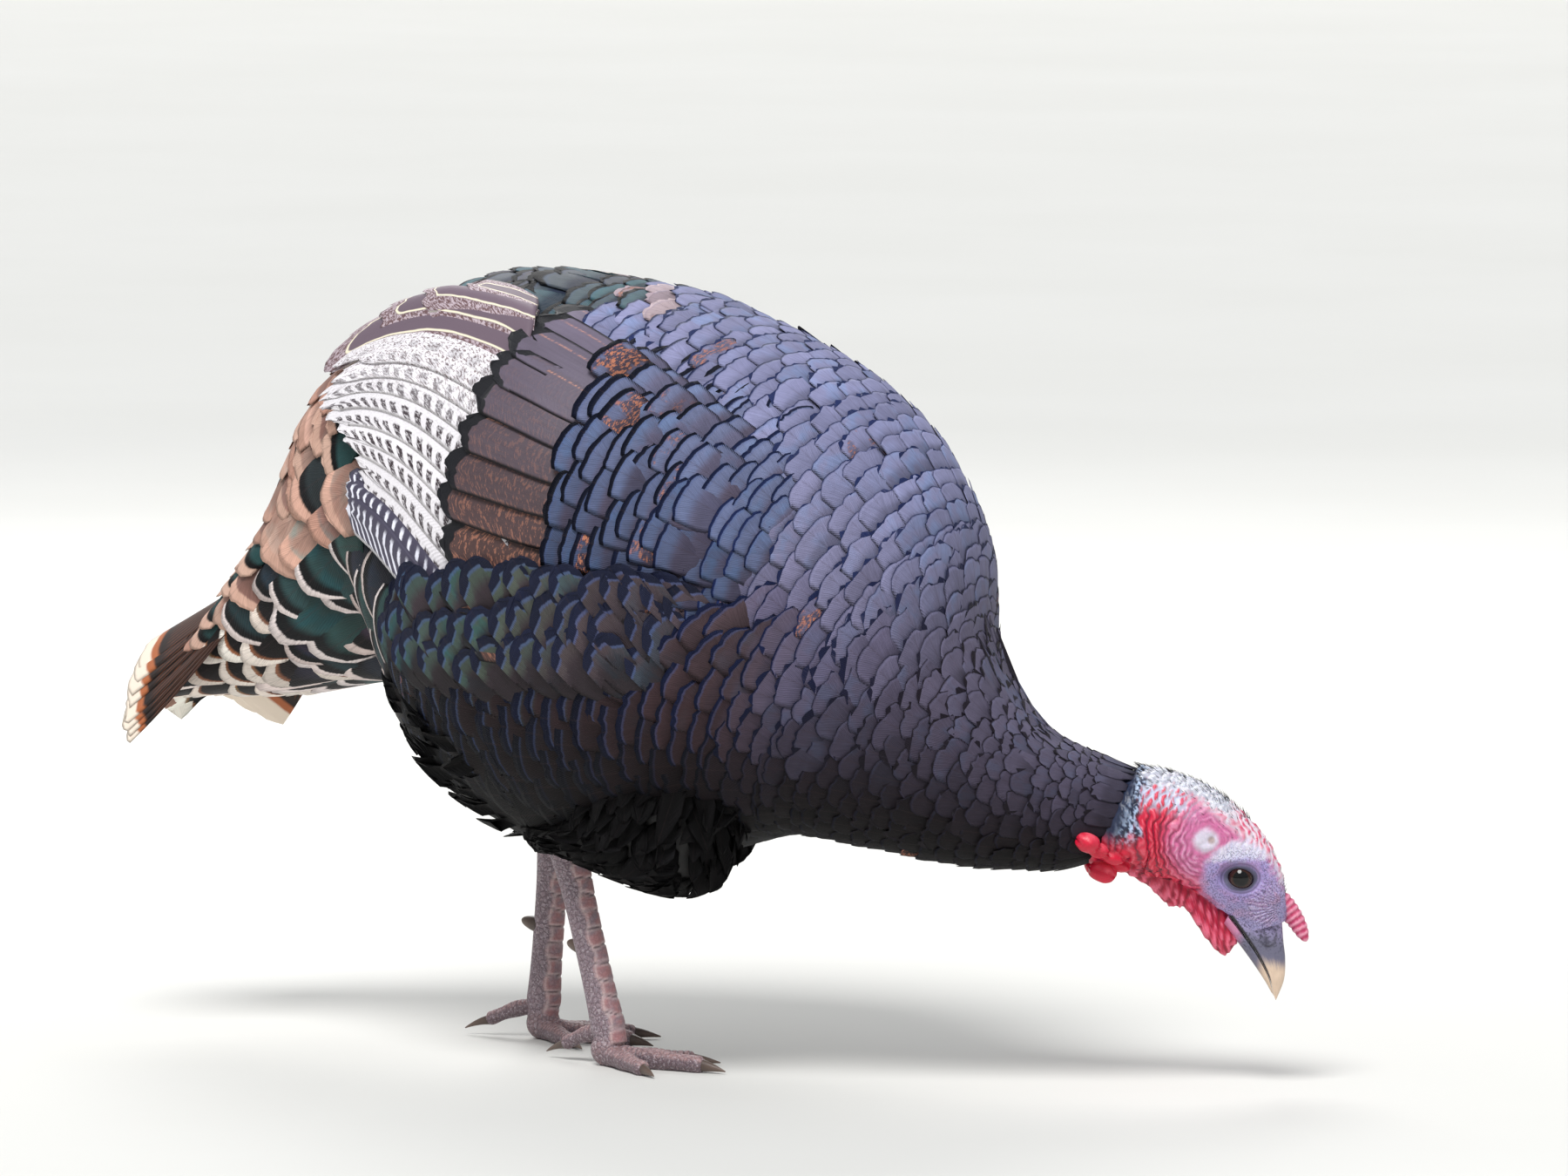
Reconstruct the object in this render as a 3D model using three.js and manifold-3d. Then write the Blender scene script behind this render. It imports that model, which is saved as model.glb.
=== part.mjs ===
// A life-size wild turkey, a tom with its head down to feed, as a still museum model.
// Millimetres, +Z up. The bird faces +X, its left side is +Y, and its toes stand flat on Z = 0.
import * as THREE from 'three';
import { LoftGeometry } from 'three/addons/geometries/LoftGeometry.js';
import { mergeVertices } from 'three/addons/utils/BufferGeometryUtils.js';
import Module from 'manifold-3d';

const wasm = await Module();
wasm.setup();

// ---------------------------------------------------------------- driving dimensions

const gap = 0.4; // between neighbouring solids
const plumageGap = 2.4; // between the trunk and the wings that lie on it
const squareness = 0.93; // below 1 is squarer than an oval

// Stations of the feathered body from the rump to the neck: the middle of each section, its half
// width, and its reach above and below the middle, all to the tips of the feathers.
const bodyStations = {
  covertTips: { at: [-264, 0, 206], wide: 34, up: 16, down: 14 },
  coverts: { at: [-216, 0, 240], wide: 54, up: 30, down: 50 },
  rump: { at: [-168, 0, 280], wide: 70, up: 43, down: 86 },
  loin: { at: [-116, 0, 312], wide: 84, up: 98, down: 100 },
  hips: { at: [-60, 0, 314], wide: 110, up: 144, down: 134 },
  middle: { at: [10, 0, 294], wide: 134, up: 164, down: 164 },
  chest: { at: [82, 0, 273], wide: 140, up: 165, down: 164 },
  shoulders: { at: [147, 0, 252], wide: 129, up: 156, down: 138 },
  breast: { at: [200, 2, 229], wide: 100, up: 126, down: 104 },
  neckRoot: { at: [243, 10, 203], wide: 75, up: 66, down: 80 },
  neckLower: { at: [284, 24, 178], wide: 56, up: 39, down: 60 },
  neckMiddle: { at: [318, 40, 161], wide: 42, up: 35, down: 41 },
  neckEnd: { at: [348, 56, 153], wide: 31, up: 33, down: 25 },
};

// The bare neck and head lie in an upright plane turned to the bird's left, with its origin
// between the eyes: [forward, up] in that plane.
const headTurn = THREE.MathUtils.degToRad(34);
const betweenEyes = new THREE.Vector3(405, 94, 121);
const headStations = {
  bareNeck: { at: [-52, 31], wide: 27, half: 30 },
  nape: { at: [-32, 24], wide: 24, half: 28.5 },
  skull: { at: [-11.5, 9], wide: 19.5, half: 25.5 },
  eyes: { at: [0.5, -5.5], wide: 17.5, half: 21.5 },
  lores: { at: [6.8, -18.5], wide: 12.5, half: 16.5 },
  face: { at: [10, -29.5], wide: 9, half: 13 },
};

// The bill's profile in the head's plane: ridge, mouth line and lower edge, root to tip.
const billRidge = [[20.4, -27], [22.4, -38], [22.8, -48], [21.2, -61], [17, -73]];
const billMouth = [[-6.5, -26.5], [0.4, -36.5], [7, -48], [12.8, -60], [16, -70]];
const billKeel = [[-10, -31.5], [-3.2, -41.5], [3.6, -51], [10, -60.5], [13.8, -67]];
const billHalfWidth = [8.6, 8, 6.6, 4.4, 0.9];

const eyeRadius = 8.4;
const eyeAt = { forward: -3.5, up: 0, side: 10.6 }; // in the head's plane

const tail = {
  ridge: [[-196, 290], [-248, 256], [-302, 226]], // the middle feathers, [x, z]
  halfWidth: [38, 54, 65],
  fall: [18, 42, 60], // how far the edges hang below the ridge
  thickness: 8,
  tips: 9, // rounded feather ends across the fan
  tipDepth: 9,
};

const legs = {
  right: { side: -1, ankle: [52, -40], hock: [25, -41], knee: [112, -62] },
  left: { side: 1, ankle: [-52, 40], hock: [-44, 41], knee: [44, 62] },
};
const hockHeight = 122; // where the shank leaves the thigh's feathers
const ankleHeight = 22;
const toes = {
  inner: { turn: 34, length: 50, root: 5.6 },
  middle: { turn: 2, length: 66, root: 6.4 },
  outer: { turn: -32, length: 54, root: 5.8 },
  hind: { turn: 170, length: 36, root: 5, lift: 20 }, // held clear of the floor
};
const clawLength = 15;
const spurPlace = 0.45; // up the shank

// Lumps of red skin under the bare neck: [forward, up, side] in the head's plane.
const caruncles = {
  right_upper: { at: [-92, 20, -32], long: 9, high: 7.5, wide: 9 },
  right_lower: { at: [-83, 3, -13], long: 8.5, high: 7, wide: 7.5 },
  left_upper: { at: [-92, 18, 34], long: 9, high: 7.5, wide: 9 },
  left_lower: { at: [-86, 4, 12], long: 8, high: 7, wide: 7.5 },
};

// ---------------------------------------------------------------- finishes

const finish = (color, roughness) => new THREE.MeshStandardMaterial({ color, roughness, metalness: 0 });
const bodyFeathers = () => finish(0x322c33, 0.55);
const wingFeathers = () => finish(0x8f8580, 0.6);
const tailFeathers = () => finish(0x4c3327, 0.6);
const bareSkin = () => finish(0xb58fb0, 0.5);
const redSkin = () => finish(0xc22c40, 0.45);
const horn = () => finish(0xa89b8c, 0.4);
const legScales = () => finish(0x8c7672, 0.6);
const clawHorn = () => finish(0x453a34, 0.4);
const eyeGloss = () => finish(0x120b08, 0.1);

// ---------------------------------------------------------------- solids

// A geometry as a manifold-3d solid, with its shared vertices merged.
function solid(geometry) {
  const bare = new THREE.BufferGeometry().copy(geometry);
  bare.deleteAttribute('normal');
  bare.deleteAttribute('uv');
  const merged = mergeVertices(bare, 1e-3);
  return new wasm.Manifold(
    new wasm.Mesh({
      numProp: 3,
      vertProperties: new Float32Array(merged.attributes.position.array),
      triVerts: new Uint32Array(merged.index.array),
    }),
  );
}

function geometryOf(made) {
  const mesh = made.getMesh();
  const geometry = new THREE.BufferGeometry();
  geometry.setAttribute('position', new THREE.BufferAttribute(new Float32Array(mesh.vertProperties), 3));
  geometry.setIndex(new THREE.BufferAttribute(new Uint32Array(mesh.triVerts), 1));
  return geometry;
}

// What is left of a solid when others are cut from it: its largest body.
function cutFrom(geometry, ...cutters) {
  const left = cutters.reduce((body, cutter) => body.subtract(solid(cutter)), solid(geometry));
  const bodies = left.decompose().sort((a, b) => b.volume() - a.volume());
  return geometryOf(bodies[0]);
}

// Solids that meet, as one body.
function joined(...geometries) {
  return geometryOf(geometries.map(solid).reduce((all, next) => all.add(next)));
}

const turkey = new THREE.Group();

function addPart(name, geometry, material) {
  const mesh = new THREE.Mesh(geometry, material);
  mesh.name = name;
  turkey.add(mesh);
}

const loft = (sections) => new LoftGeometry(sections, { capStart: true, capEnd: true });
const steps = (count) => Array.from({ length: count + 1 }, (_, i) => i / count);
const through = (points) => new THREE.CatmullRomCurve3(points, false, 'catmullrom', 0.5);
const mix = THREE.MathUtils.lerp;
const bend = (value) => Math.sign(value) * Math.abs(value) ** squareness;

// A row of numbers read smoothly at k from 0 to 1.
function along(row, k) {
  const curve = through(row.map((value) => new THREE.Vector3(value, 0, 0)));
  return curve.getPoint(k).x;
}

// A row of [forward, up] pairs read smoothly at k from 0 to 1.
function profileAt(row, k) {
  const curve = through(row.map(([x, z]) => new THREE.Vector3(x, 0, z)));
  return curve.getPoint(k);
}

// An oval ring about a middle, its axes given as vectors, wound from side towards rise.
function oval(middle, side, rise, count) {
  return Array.from({ length: count }, (_, i) => {
    const turn = (i / count) * Math.PI * 2;
    return middle.clone().addScaledVector(side, Math.cos(turn)).addScaledVector(rise, Math.sin(turn));
  });
}

// ---------------------------------------------------------------- body, neck and head

const headPlane = new THREE.Object3D();
headPlane.position.copy(betweenEyes);
headPlane.rotation.z = headTurn;
headPlane.updateMatrixWorld(true);
const inHead = (forward, up, side = 0) => headPlane.localToWorld(new THREE.Vector3(forward, side, up));

const stations = [
  ...Object.values(bodyStations).map((s) => ({
    at: new THREE.Vector3(...s.at),
    size: new THREE.Vector3(s.wide, s.up, s.down),
  })),
  ...Object.values(headStations).map((s) => ({
    at: inHead(...s.at),
    size: new THREE.Vector3(s.wide, s.half, s.half),
  })),
];
const centreLine = through(stations.map((s) => s.at));
const sectionSize = through(stations.map((s) => s.size));
const lastStation = stations.length - 1;
const stationNames = [...Object.keys(bodyStations), ...Object.keys(headStations)];

// The place of a station on the centre line, moved on by a share of the way to the next.
const placeOf = (name, on = 0) => (stationNames.indexOf(name) + on) / lastStation;

function bodyFrame(t) {
  const forward = centreLine.getTangent(t);
  const side = new THREE.Vector3(0, 0, 1).cross(forward).normalize();
  const rise = forward.clone().cross(side);
  return { middle: centreLine.getPoint(t), forward, side, rise, size: sectionSize.getPoint(t) };
}

// A point of the body's surface: turn 0 is its left side, a quarter turn its back.
function bodyPoint(t, turn, lift = 0) {
  const { middle, side, rise, size } = bodyFrame(t);
  const reach = Math.sin(turn) > 0 ? size.y : size.z;
  return middle
    .addScaledVector(side, (size.x + lift) * bend(Math.cos(turn)))
    .addScaledVector(rise, (reach + lift) * bend(Math.sin(turn)));
}

function bodyRingAt(t, count, shift, lift) {
  const { forward } = bodyFrame(t);
  return Array.from({ length: count }, (_, i) =>
    bodyPoint(t, (i / count) * Math.PI * 2, lift).addScaledVector(forward, shift),
  );
}

// A length of the body, its flat ends half a gap inside its two places, or grown by a lift.
function bodyLength({ from, to, rings, count }, lift = 0) {
  return loft([
    bodyRingAt(from, count, gap / 2 - lift, lift),
    ...steps(rings).slice(1, -1).map((k) => bodyRingAt(mix(from, to, k), count, 0, lift)),
    bodyRingAt(to, count, lift - gap / 2, lift),
  ]);
}

const joins = {
  trunkStart: placeOf('loin', -0.35),
  neckStart: placeOf('neckRoot', -0.1),
  neckNarrows: placeOf('neckMiddle', -0.2),
  bareSkin: placeOf('neckEnd', 0.1),
};
const lengths = {
  rump: { from: 0, to: joins.trunkStart, rings: 6, count: 24 },
  trunk: { from: joins.trunkStart, to: joins.neckStart, rings: 14, count: 28 },
  neck_lower: { from: joins.neckStart, to: joins.neckNarrows, rings: 4, count: 26 },
  neck_upper: { from: joins.neckNarrows, to: joins.bareSkin, rings: 3, count: 22 },
  head: { from: joins.bareSkin, to: 1, rings: 11, count: 22 },
};

// ---------------------------------------------------------------- wings

// A shell lying on the body. It runs rear to front, k, and from its lower edge up, j; its turns
// are degrees above the side of the body, and its ends may change with the turn.
function bodyShell(side, { from, to, low, high, thickness, rows, columns }) {
  const sections = steps(rows).map((k) => {
    const point = (j, lift) => {
      const turn = mix(low(k), high(k), j);
      const radians = THREE.MathUtils.degToRad(side > 0 ? turn : 180 - turn);
      return bodyPoint(mix(from(turn), to(turn), k), radians, plumageGap + lift);
    };
    const outer = steps(columns).map((j) => point(j, thickness(k, j)));
    const inner = steps(columns).reverse().map((j) => point(j, 0));
    return side > 0 ? [...outer, ...inner] : [...outer, ...inner].reverse();
  });
  return loft(sections);
}

// Where the flight feathers leave the coverts, and a thin space between tracts.
const coverLine = (turn) => placeOf('middle', 0.43 - turn / 60);
const tractSpace = 0.0012;
const domed = (j) => Math.sin(Math.PI * j);

const wingTracts = {
  primaries: {
    from: () => placeOf('loin', -0.05),
    to: (turn) => coverLine(turn) - tractSpace,
    low: (k) => mix(1, -15, k),
    high: (k) => mix(11, -7, k),
    thickness: (k, j) => 2.5 + 2.5 * domed(j),
    rows: 8,
    columns: 3,
  },
  secondaries: {
    from: (turn) => placeOf('loin', -0.12 + 0.0003 * (turn - 30) ** 2),
    to: (turn) => coverLine(turn) - tractSpace,
    low: (k) => mix(12.5, -5.5, k),
    high: (k) => mix(50, 44, k),
    thickness: (k, j) => 3 + 3 * domed(j) + 3 * k,
    rows: 7,
    columns: 7,
  },
  tertials: {
    from: (turn) => placeOf('loin', 0.1 + 0.02 * (turn - 50)),
    to: (turn) => coverLine(turn) - tractSpace,
    low: (k) => mix(51.5, 45.5, k),
    high: (k) => mix(69, 66, k),
    thickness: (k, j) => 3 + 3 * domed(j) + 3 * k,
    rows: 6,
    columns: 3,
  },
  coverts: {
    from: (turn) => coverLine(turn) + tractSpace,
    to: (turn) => placeOf('shoulders', 0.3 - 0.00018 * (turn - 25) ** 2),
    low: (k) => mix(-13, 4, k),
    high: (k) => mix(66, 46, k),
    thickness: (k, j) => 2.5 + 9 * domed(j) * Math.cos(1.4 * k),
    rows: 9,
    columns: 9,
  },
};

// ---------------------------------------------------------------- tail

// The folded tail: a plate bent like a low roof, its rear edge scalloped by the feather ends.
function tailFan() {
  const across = tail.tips * 2;
  const point = (k, j, drop) => {
    const middle = profileAt(tail.ridge, k);
    const wide = along(tail.halfWidth, k) * j;
    const fall = along(tail.fall, k) * Math.abs(j) ** 1.3;
    return new THREE.Vector3(middle.x, wide, middle.z - fall - drop);
  };
  const sections = steps(across).map((s) => {
    const j = mix(1, -1, s);
    const scallop = Math.abs(Math.sin(Math.PI * tail.tips * s));
    const end = 1 - (tail.tipDepth / 125) * (1 - scallop) - 0.06 * j * j;
    const edge = Math.max(2, tail.thickness * (1 - 0.5 * j * j));
    const top = steps(4).map((k) => point(k * end, j, 0));
    const under = steps(4).reverse().map((k) => point(k * end, j, edge * mix(1, 0.35, k)));
    return [...top, ...under];
  });
  return loft(sections);
}

// ---------------------------------------------------------------- head

// A bill half from the mouth line out to a rounded ridge or keel, in the head's plane.
function billHalf(outerRow, innerRow, inset, flip) {
  const sections = steps(7).map((k) => {
    const outer = profileAt(outerRow, k);
    const inner = profileAt(innerRow, k).lerp(outer, inset);
    const half = along(billHalfWidth, k);
    return steps(9).map((s) => {
      const turn = Math.PI * s;
      const deep = Math.max(0, Math.sin(turn)) ** 0.8;
      const side = flip * half * Math.cos(turn) * (1 - 0.12 * deep);
      return inHead(mix(inner.x, outer.x, deep), mix(inner.z, outer.z, deep), side);
    });
  });
  return loft(sections);
}

function snood() {
  const path = through([inHead(16, -9.5, 1), inHead(24, -17, 3), inHead(30, -28, 4.5), inHead(34, -41, 5)]);
  const sections = steps(13).map((k) => {
    const forward = path.getTangent(k);
    const side = inHead(0, 0, 1).sub(betweenEyes);
    const rise = forward.clone().cross(side).normalize();
    const radius = 6.2 * Math.sqrt(Math.max(0.04, 1 - k ** 5)) * (1 + 0.05 * Math.cos(k * 13 * Math.PI));
    return oval(path.getPoint(k), side.multiplyScalar(radius * 0.9), rise.multiplyScalar(radius), 10);
  });
  return loft(sections);
}

// The dewlap: a flap of skin under the throat, between its join and its hanging edge.
function dewlap() {
  const join = [[-62, 9], [-46, 2], [-32, -7], [-21, -18], [-12, -29]];
  const edge = [[-66, 0], [-51, -15], [-37, -24], [-24, -42], [-12.5, -49]];
  const sections = steps(9).map((k) => {
    const top = profileAt(join, k);
    const low = profileAt(edge, k);
    const half = mix(2.2, 3.6, Math.sin(Math.PI * k));
    const wave = 1.6 * Math.sin(k * 9);
    return steps(9).map((s) => {
      const turn = Math.PI * 2 * s * 0.9;
      const drop = (1 - Math.cos(turn)) / 2;
      const side = wave * drop - half * Math.sin(turn);
      return inHead(mix(top.x, low.x, drop), mix(top.z, low.z, drop), side);
    });
  });
  return loft(sections);
}

// A caruncle: a lump of red skin, longest along the neck.
function lump({ at, long, high, wide }) {
  const ball = new THREE.SphereGeometry(1, 10, 6);
  ball.scale(long, wide, high);
  ball.rotateY(0.4);
  ball.rotateZ(headTurn);
  const middle = inHead(at[0], at[1], at[2]);
  return ball.translate(middle.x, middle.y, middle.z);
}

function eyeball(side, radius, finer = 1) {
  const ball = new THREE.SphereGeometry(radius, 12 * finer, 8 * finer);
  const at = inHead(eyeAt.forward, eyeAt.up, side * eyeAt.side);
  return ball.translate(at.x, at.y, at.z);
}

// ---------------------------------------------------------------- legs

// The feathered thigh, a drop from the belly back and down to the hock.
function thigh({ hock, knee }) {
  const path = through([
    new THREE.Vector3(hock[0], hock[1], hockHeight + gap),
    new THREE.Vector3(mix(hock[0], knee[0], 0.22), mix(hock[1], knee[1], 0.4), 126),
    new THREE.Vector3(mix(hock[0], knee[0], 0.7), mix(hock[1], knee[1], 0.9), 134),
    new THREE.Vector3(knee[0], knee[1], 176),
  ]);
  const sections = steps(8).map((k) => {
    const half = 17 + 40 * Math.sin((Math.PI / 2) * k) ** 0.8;
    const lean = new THREE.Vector3(half, 0, -half * 0.5 * Math.sin(Math.PI * k));
    return oval(path.getPoint(k), lean, new THREE.Vector3(0, half * 0.72, 0), 18);
  });
  return loft(sections);
}

// The scaled shank, a little thicker at its two ends.
function shank({ ankle, hock }, lift = 0) {
  const low = new THREE.Vector3(ankle[0], ankle[1], ankleHeight - lift);
  const high = new THREE.Vector3(hock[0], hock[1], hockHeight);
  const sections = steps(7).map((k) => {
    const swell = 1 + 0.28 * Math.abs(2 * k - 1) ** 3;
    const middle = low.clone().lerp(high, k);
    return oval(
      middle,
      new THREE.Vector3(9.4 * swell + lift, 0, 0),
      new THREE.Vector3(0, 7.4 * swell + lift, 0),
      14,
    );
  });
  return loft(sections);
}

// The blunt young spur on the inner rear of the shank.
function spur({ ankle, hock, side }) {
  const low = new THREE.Vector3(ankle[0], ankle[1], ankleHeight);
  const high = new THREE.Vector3(hock[0], hock[1], hockHeight);
  const at = low.lerp(high, spurPlace);
  const bud = new THREE.SphereGeometry(1, 10, 8);
  bud.scale(9, 4.2, 4.6);
  bud.rotateY(-0.25);
  return bud.translate(at.x - 8.5, at.y - side * 2, at.z);
}

// A toe: its line from the foot's middle out to the root of its claw, and its direction.
function toeLine({ ankle, side }, name) {
  const { turn, length, root, lift = 0 } = toes[name];
  const heading = THREE.MathUtils.degToRad(turn) * side * -1;
  const out = new THREE.Vector3(Math.cos(heading), Math.sin(heading), 0);
  const at = (distance, height) =>
    new THREE.Vector3(ankle[0], ankle[1], height).addScaledVector(out, distance);
  const start = lift ? 1 : 4;
  const path = through([
    at(start, lift * 0.75 + root),
    at(mix(start, length, 0.5), lift * 0.6 + root * 0.86),
    at(length, lift * 0.3 + root * 0.68),
  ]);
  return { out, path, root };
}

// Rings along a line, flattened where they would pass below the floor.
function standingLoft(path, side, radius, count, rings) {
  const sections = steps(rings).map((k) => {
    const rise = new THREE.Vector3(0, 0, 1);
    const r = radius(k);
    return oval(path.getPoint(k), side.clone().multiplyScalar(r), rise.multiplyScalar(r), count).map((p) =>
      p.setZ(Math.max(0, p.z)),
    );
  });
  return loft(sections);
}

function toe(leg, name) {
  const { out, path, root } = toeLine(leg, name);
  const side = new THREE.Vector3(0, 0, 1).cross(out);
  const pads = (k) => root * 1.08 * (1 - 0.28 * k) * (1 + 0.06 * Math.cos(k * 4 * Math.PI));
  return standingLoft(path, side, pads, 8, 4);
}

function claw(leg, name) {
  const { out, path, root } = toeLine(leg, name);
  const side = new THREE.Vector3(0, 0, 1).cross(out);
  const start = path.getPoint(1).addScaledVector(out, gap);
  const curve = through([
    start,
    start.clone().addScaledVector(out, clawLength * 0.55).setZ(start.z * 0.92),
    start.clone().addScaledVector(out, clawLength).setZ(start.z * 0.4),
  ]);
  return standingLoft(curve, side, (k) => mix(root * 0.62, 0.6, k ** 1.3), 6, 4);
}

// The round pad under the ankle, where the toes meet.
function footPad({ ankle }) {
  const pad = [[0, 0], [6.5, 0], [9.2, 4], [9.6, 10], [8.8, ankleHeight - gap], [0, ankleHeight - gap]];
  const lathe = new THREE.LatheGeometry(pad.map(([r, z]) => new THREE.Vector2(r, z)), 12);
  lathe.rotateX(Math.PI / 2);
  return lathe.translate(ankle[0], ankle[1], 0);
}

// ---------------------------------------------------------------- the bird

const sides = { right: -1, left: 1 };
const toeNames = Object.keys(toes);
const sockets = Object.values(sides).map((side) => eyeball(side, eyeRadius + 2.2 * gap));
const headRoom = bodyLength(lengths.head, 2 * gap);
const throatRoom = bodyLength({ ...lengths.head, from: joins.bareSkin - 0.03, rings: 15 }, 1.5 * gap);
const neckRoom = bodyLength(lengths.neck_upper, gap);
const trunkRoom = bodyLength(lengths.trunk, gap);
const rumpRoom = bodyLength(lengths.rump, gap);

addPart('rump', bodyLength(lengths.rump), bodyFeathers());
addPart('trunk', bodyLength(lengths.trunk), bodyFeathers());
addPart('neck_lower', bodyLength(lengths.neck_lower), bodyFeathers());
addPart('neck_upper', bodyLength(lengths.neck_upper), bodyFeathers());
addPart('head', cutFrom(bodyLength(lengths.head), ...sockets), bareSkin());
addPart('tail', cutFrom(tailFan(), rumpRoom), tailFeathers());

addPart('bill_upper', cutFrom(billHalf(billRidge, billMouth, 0.02, 1), headRoom), horn());
addPart('bill_lower', cutFrom(billHalf(billKeel, billMouth, 0.12, -1), headRoom), horn());
addPart('snood', cutFrom(snood(), headRoom), redSkin());
addPart('dewlap', cutFrom(dewlap(), headRoom, throatRoom), redSkin());
for (const [name, shape] of Object.entries(caruncles)) {
  addPart(`caruncle_${name}`, cutFrom(lump(shape), headRoom, neckRoom), redSkin());
}
for (const [name, side] of Object.entries(sides)) {
  addPart(`eye_${name}`, eyeball(side, eyeRadius, 1.25), eyeGloss());
}

for (const [name, side] of Object.entries(sides)) {
  for (const [tract, shape] of Object.entries(wingTracts)) {
    addPart(`wing_${name}_${tract}`, bodyShell(side, shape), wingFeathers());
  }
}

for (const [name, leg] of Object.entries(legs)) {
  addPart(`thigh_${name}`, cutFrom(thigh(leg), trunkRoom), bodyFeathers());
  addPart(`shank_${name}`, cutFrom(shank(leg), trunkRoom), legScales());
  addPart(`spur_${name}`, cutFrom(spur(leg), shank(leg, gap)), clawHorn());
  const foot = joined(footPad(leg), ...toeNames.map((which) => toe(leg, which)));
  addPart(`foot_${name}`, cutFrom(foot, shank(leg, gap)), legScales());
  for (const which of toeNames) {
    addPart(`claw_${name}_${which}`, claw(leg, which), clawHorn());
  }
}

// The origin lies on the floor under the middle of the bird's length and width.
const extent = new THREE.Box3().setFromObject(turkey);
const middle = extent.getCenter(new THREE.Vector3());
turkey.position.set(-middle.x, -middle.y, 0);

export default turkey;
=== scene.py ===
import math

import bpy
import numpy as np
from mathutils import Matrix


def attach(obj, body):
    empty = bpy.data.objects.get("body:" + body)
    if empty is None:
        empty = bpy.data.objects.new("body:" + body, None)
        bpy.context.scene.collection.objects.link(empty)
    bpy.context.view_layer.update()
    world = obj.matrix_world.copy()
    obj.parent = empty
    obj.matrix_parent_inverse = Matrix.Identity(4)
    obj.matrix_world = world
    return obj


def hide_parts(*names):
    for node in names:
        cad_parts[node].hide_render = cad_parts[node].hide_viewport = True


# A tom turkey stooping to feed. Metres, +Z up, the bird faces +X and its left side is +Y.
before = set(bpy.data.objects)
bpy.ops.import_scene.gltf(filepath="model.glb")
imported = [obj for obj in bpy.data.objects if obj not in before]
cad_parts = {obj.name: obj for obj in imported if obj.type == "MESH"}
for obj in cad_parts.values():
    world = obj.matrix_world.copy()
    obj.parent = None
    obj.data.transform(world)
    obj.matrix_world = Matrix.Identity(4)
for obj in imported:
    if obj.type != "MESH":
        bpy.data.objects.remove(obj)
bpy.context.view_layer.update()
bpy.context.scene.view_settings.view_transform = "Standard"

mm = 0.001
ankleMiddle = np.array([-65.711, 0.0, 0.0])  # the spot midway between the ankles, in this frame, in mm


# azimuth round from the bird's right side, elevation over the floor, and the spot looked at in metres
viewing = {
    "azimuth": 35.0, "elevation": 5.4, "distance": 9.0, "lens": 354.6, "middle": (0.0148, 0.0966, 0.2681),
}
lighting = {
    "sun": (18, 56, 2.9, 0.5),  # azimuth, elevation, strength and spread
    "back": ((-1.8, 2.0, 2.2), 45, 1.6, (1.0, 0.99, 0.97)),  # place, energy, size and colour
    "aim": (0.0, 0.0, 0.22),
    "sky": (0.86, 0.9, 0.96, 1),
    "skyStrength": 0.5,
}


def circle(count):  # turns evenly round a circle
    return np.linspace(0, 2 * math.pi, count, endpoint=False)


def makeCamera():  # looks at the middle from a distance, along the azimuth and the elevation
    a, e = math.radians(viewing["azimuth"]), math.radians(viewing["elevation"])
    back = np.array([math.sin(a) * math.cos(e), -math.cos(a) * math.cos(e), math.sin(e)])
    camera = bpy.data.objects.new("camera", bpy.data.cameras.new("camera"))
    camera.data.lens = viewing["lens"]
    camera.data.sensor_width = 36
    camera.data.clip_end = 60
    camera.location = np.array(viewing["middle"]) + viewing["distance"] * back
    camera.rotation_euler = (math.pi / 2 - e, 0, a)
    bpy.context.scene.collection.objects.link(camera)
    bpy.context.scene.camera = camera


def makeLamp(name, place, energy, size, colour):  # a square lamp turned towards the bird
    light = bpy.data.lights.new(name, "AREA")
    light.energy = energy
    light.size = size
    light.color = colour
    lamp = bpy.data.objects.new(name, light)
    lamp.location = place
    aim = np.array(lighting["aim"]) - np.array(place)
    flat = math.hypot(aim[0], aim[1])
    lamp.rotation_euler = (math.atan2(flat, -aim[2]), 0, math.atan2(aim[1], aim[0]) - math.pi / 2)
    bpy.context.scene.collection.objects.link(lamp)


def makeSun(azimuth, elevation, strength, spread):  # wide and soft, so that its shadow is
    light = bpy.data.lights.new("keyLight", "SUN")
    light.energy = strength
    light.angle = spread
    lamp = bpy.data.objects.new("keyLight", light)
    lamp.rotation_euler = (math.radians(90 - elevation), 0, math.radians(azimuth))
    bpy.context.scene.collection.objects.link(lamp)


makeCamera()
makeSun(*lighting["sun"])
makeLamp("backLight", *lighting["back"])
world = bpy.data.worlds.new("studio")
world.use_nodes = True
world.node_tree.nodes["Background"].inputs[0].default_value = lighting["sky"]
world.node_tree.nodes["Background"].inputs[1].default_value = lighting["skyStrength"]
bpy.context.scene.world = world


def paint(red, green, blue):  # a colour from 0 to 255 as linear light
    level = np.array([red, green, blue]) / 255
    return tuple(np.where(level <= 0.04045, level / 12.92, ((level + 0.055) / 1.055) ** 2.4)) + (1.0,)


def lay(under, share, over):  # one colour laid over another
    share = np.asarray(share)[..., None]
    return np.asarray(under)[..., :3] * (1 - share) + np.asarray(over)[..., :3] * share


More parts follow.
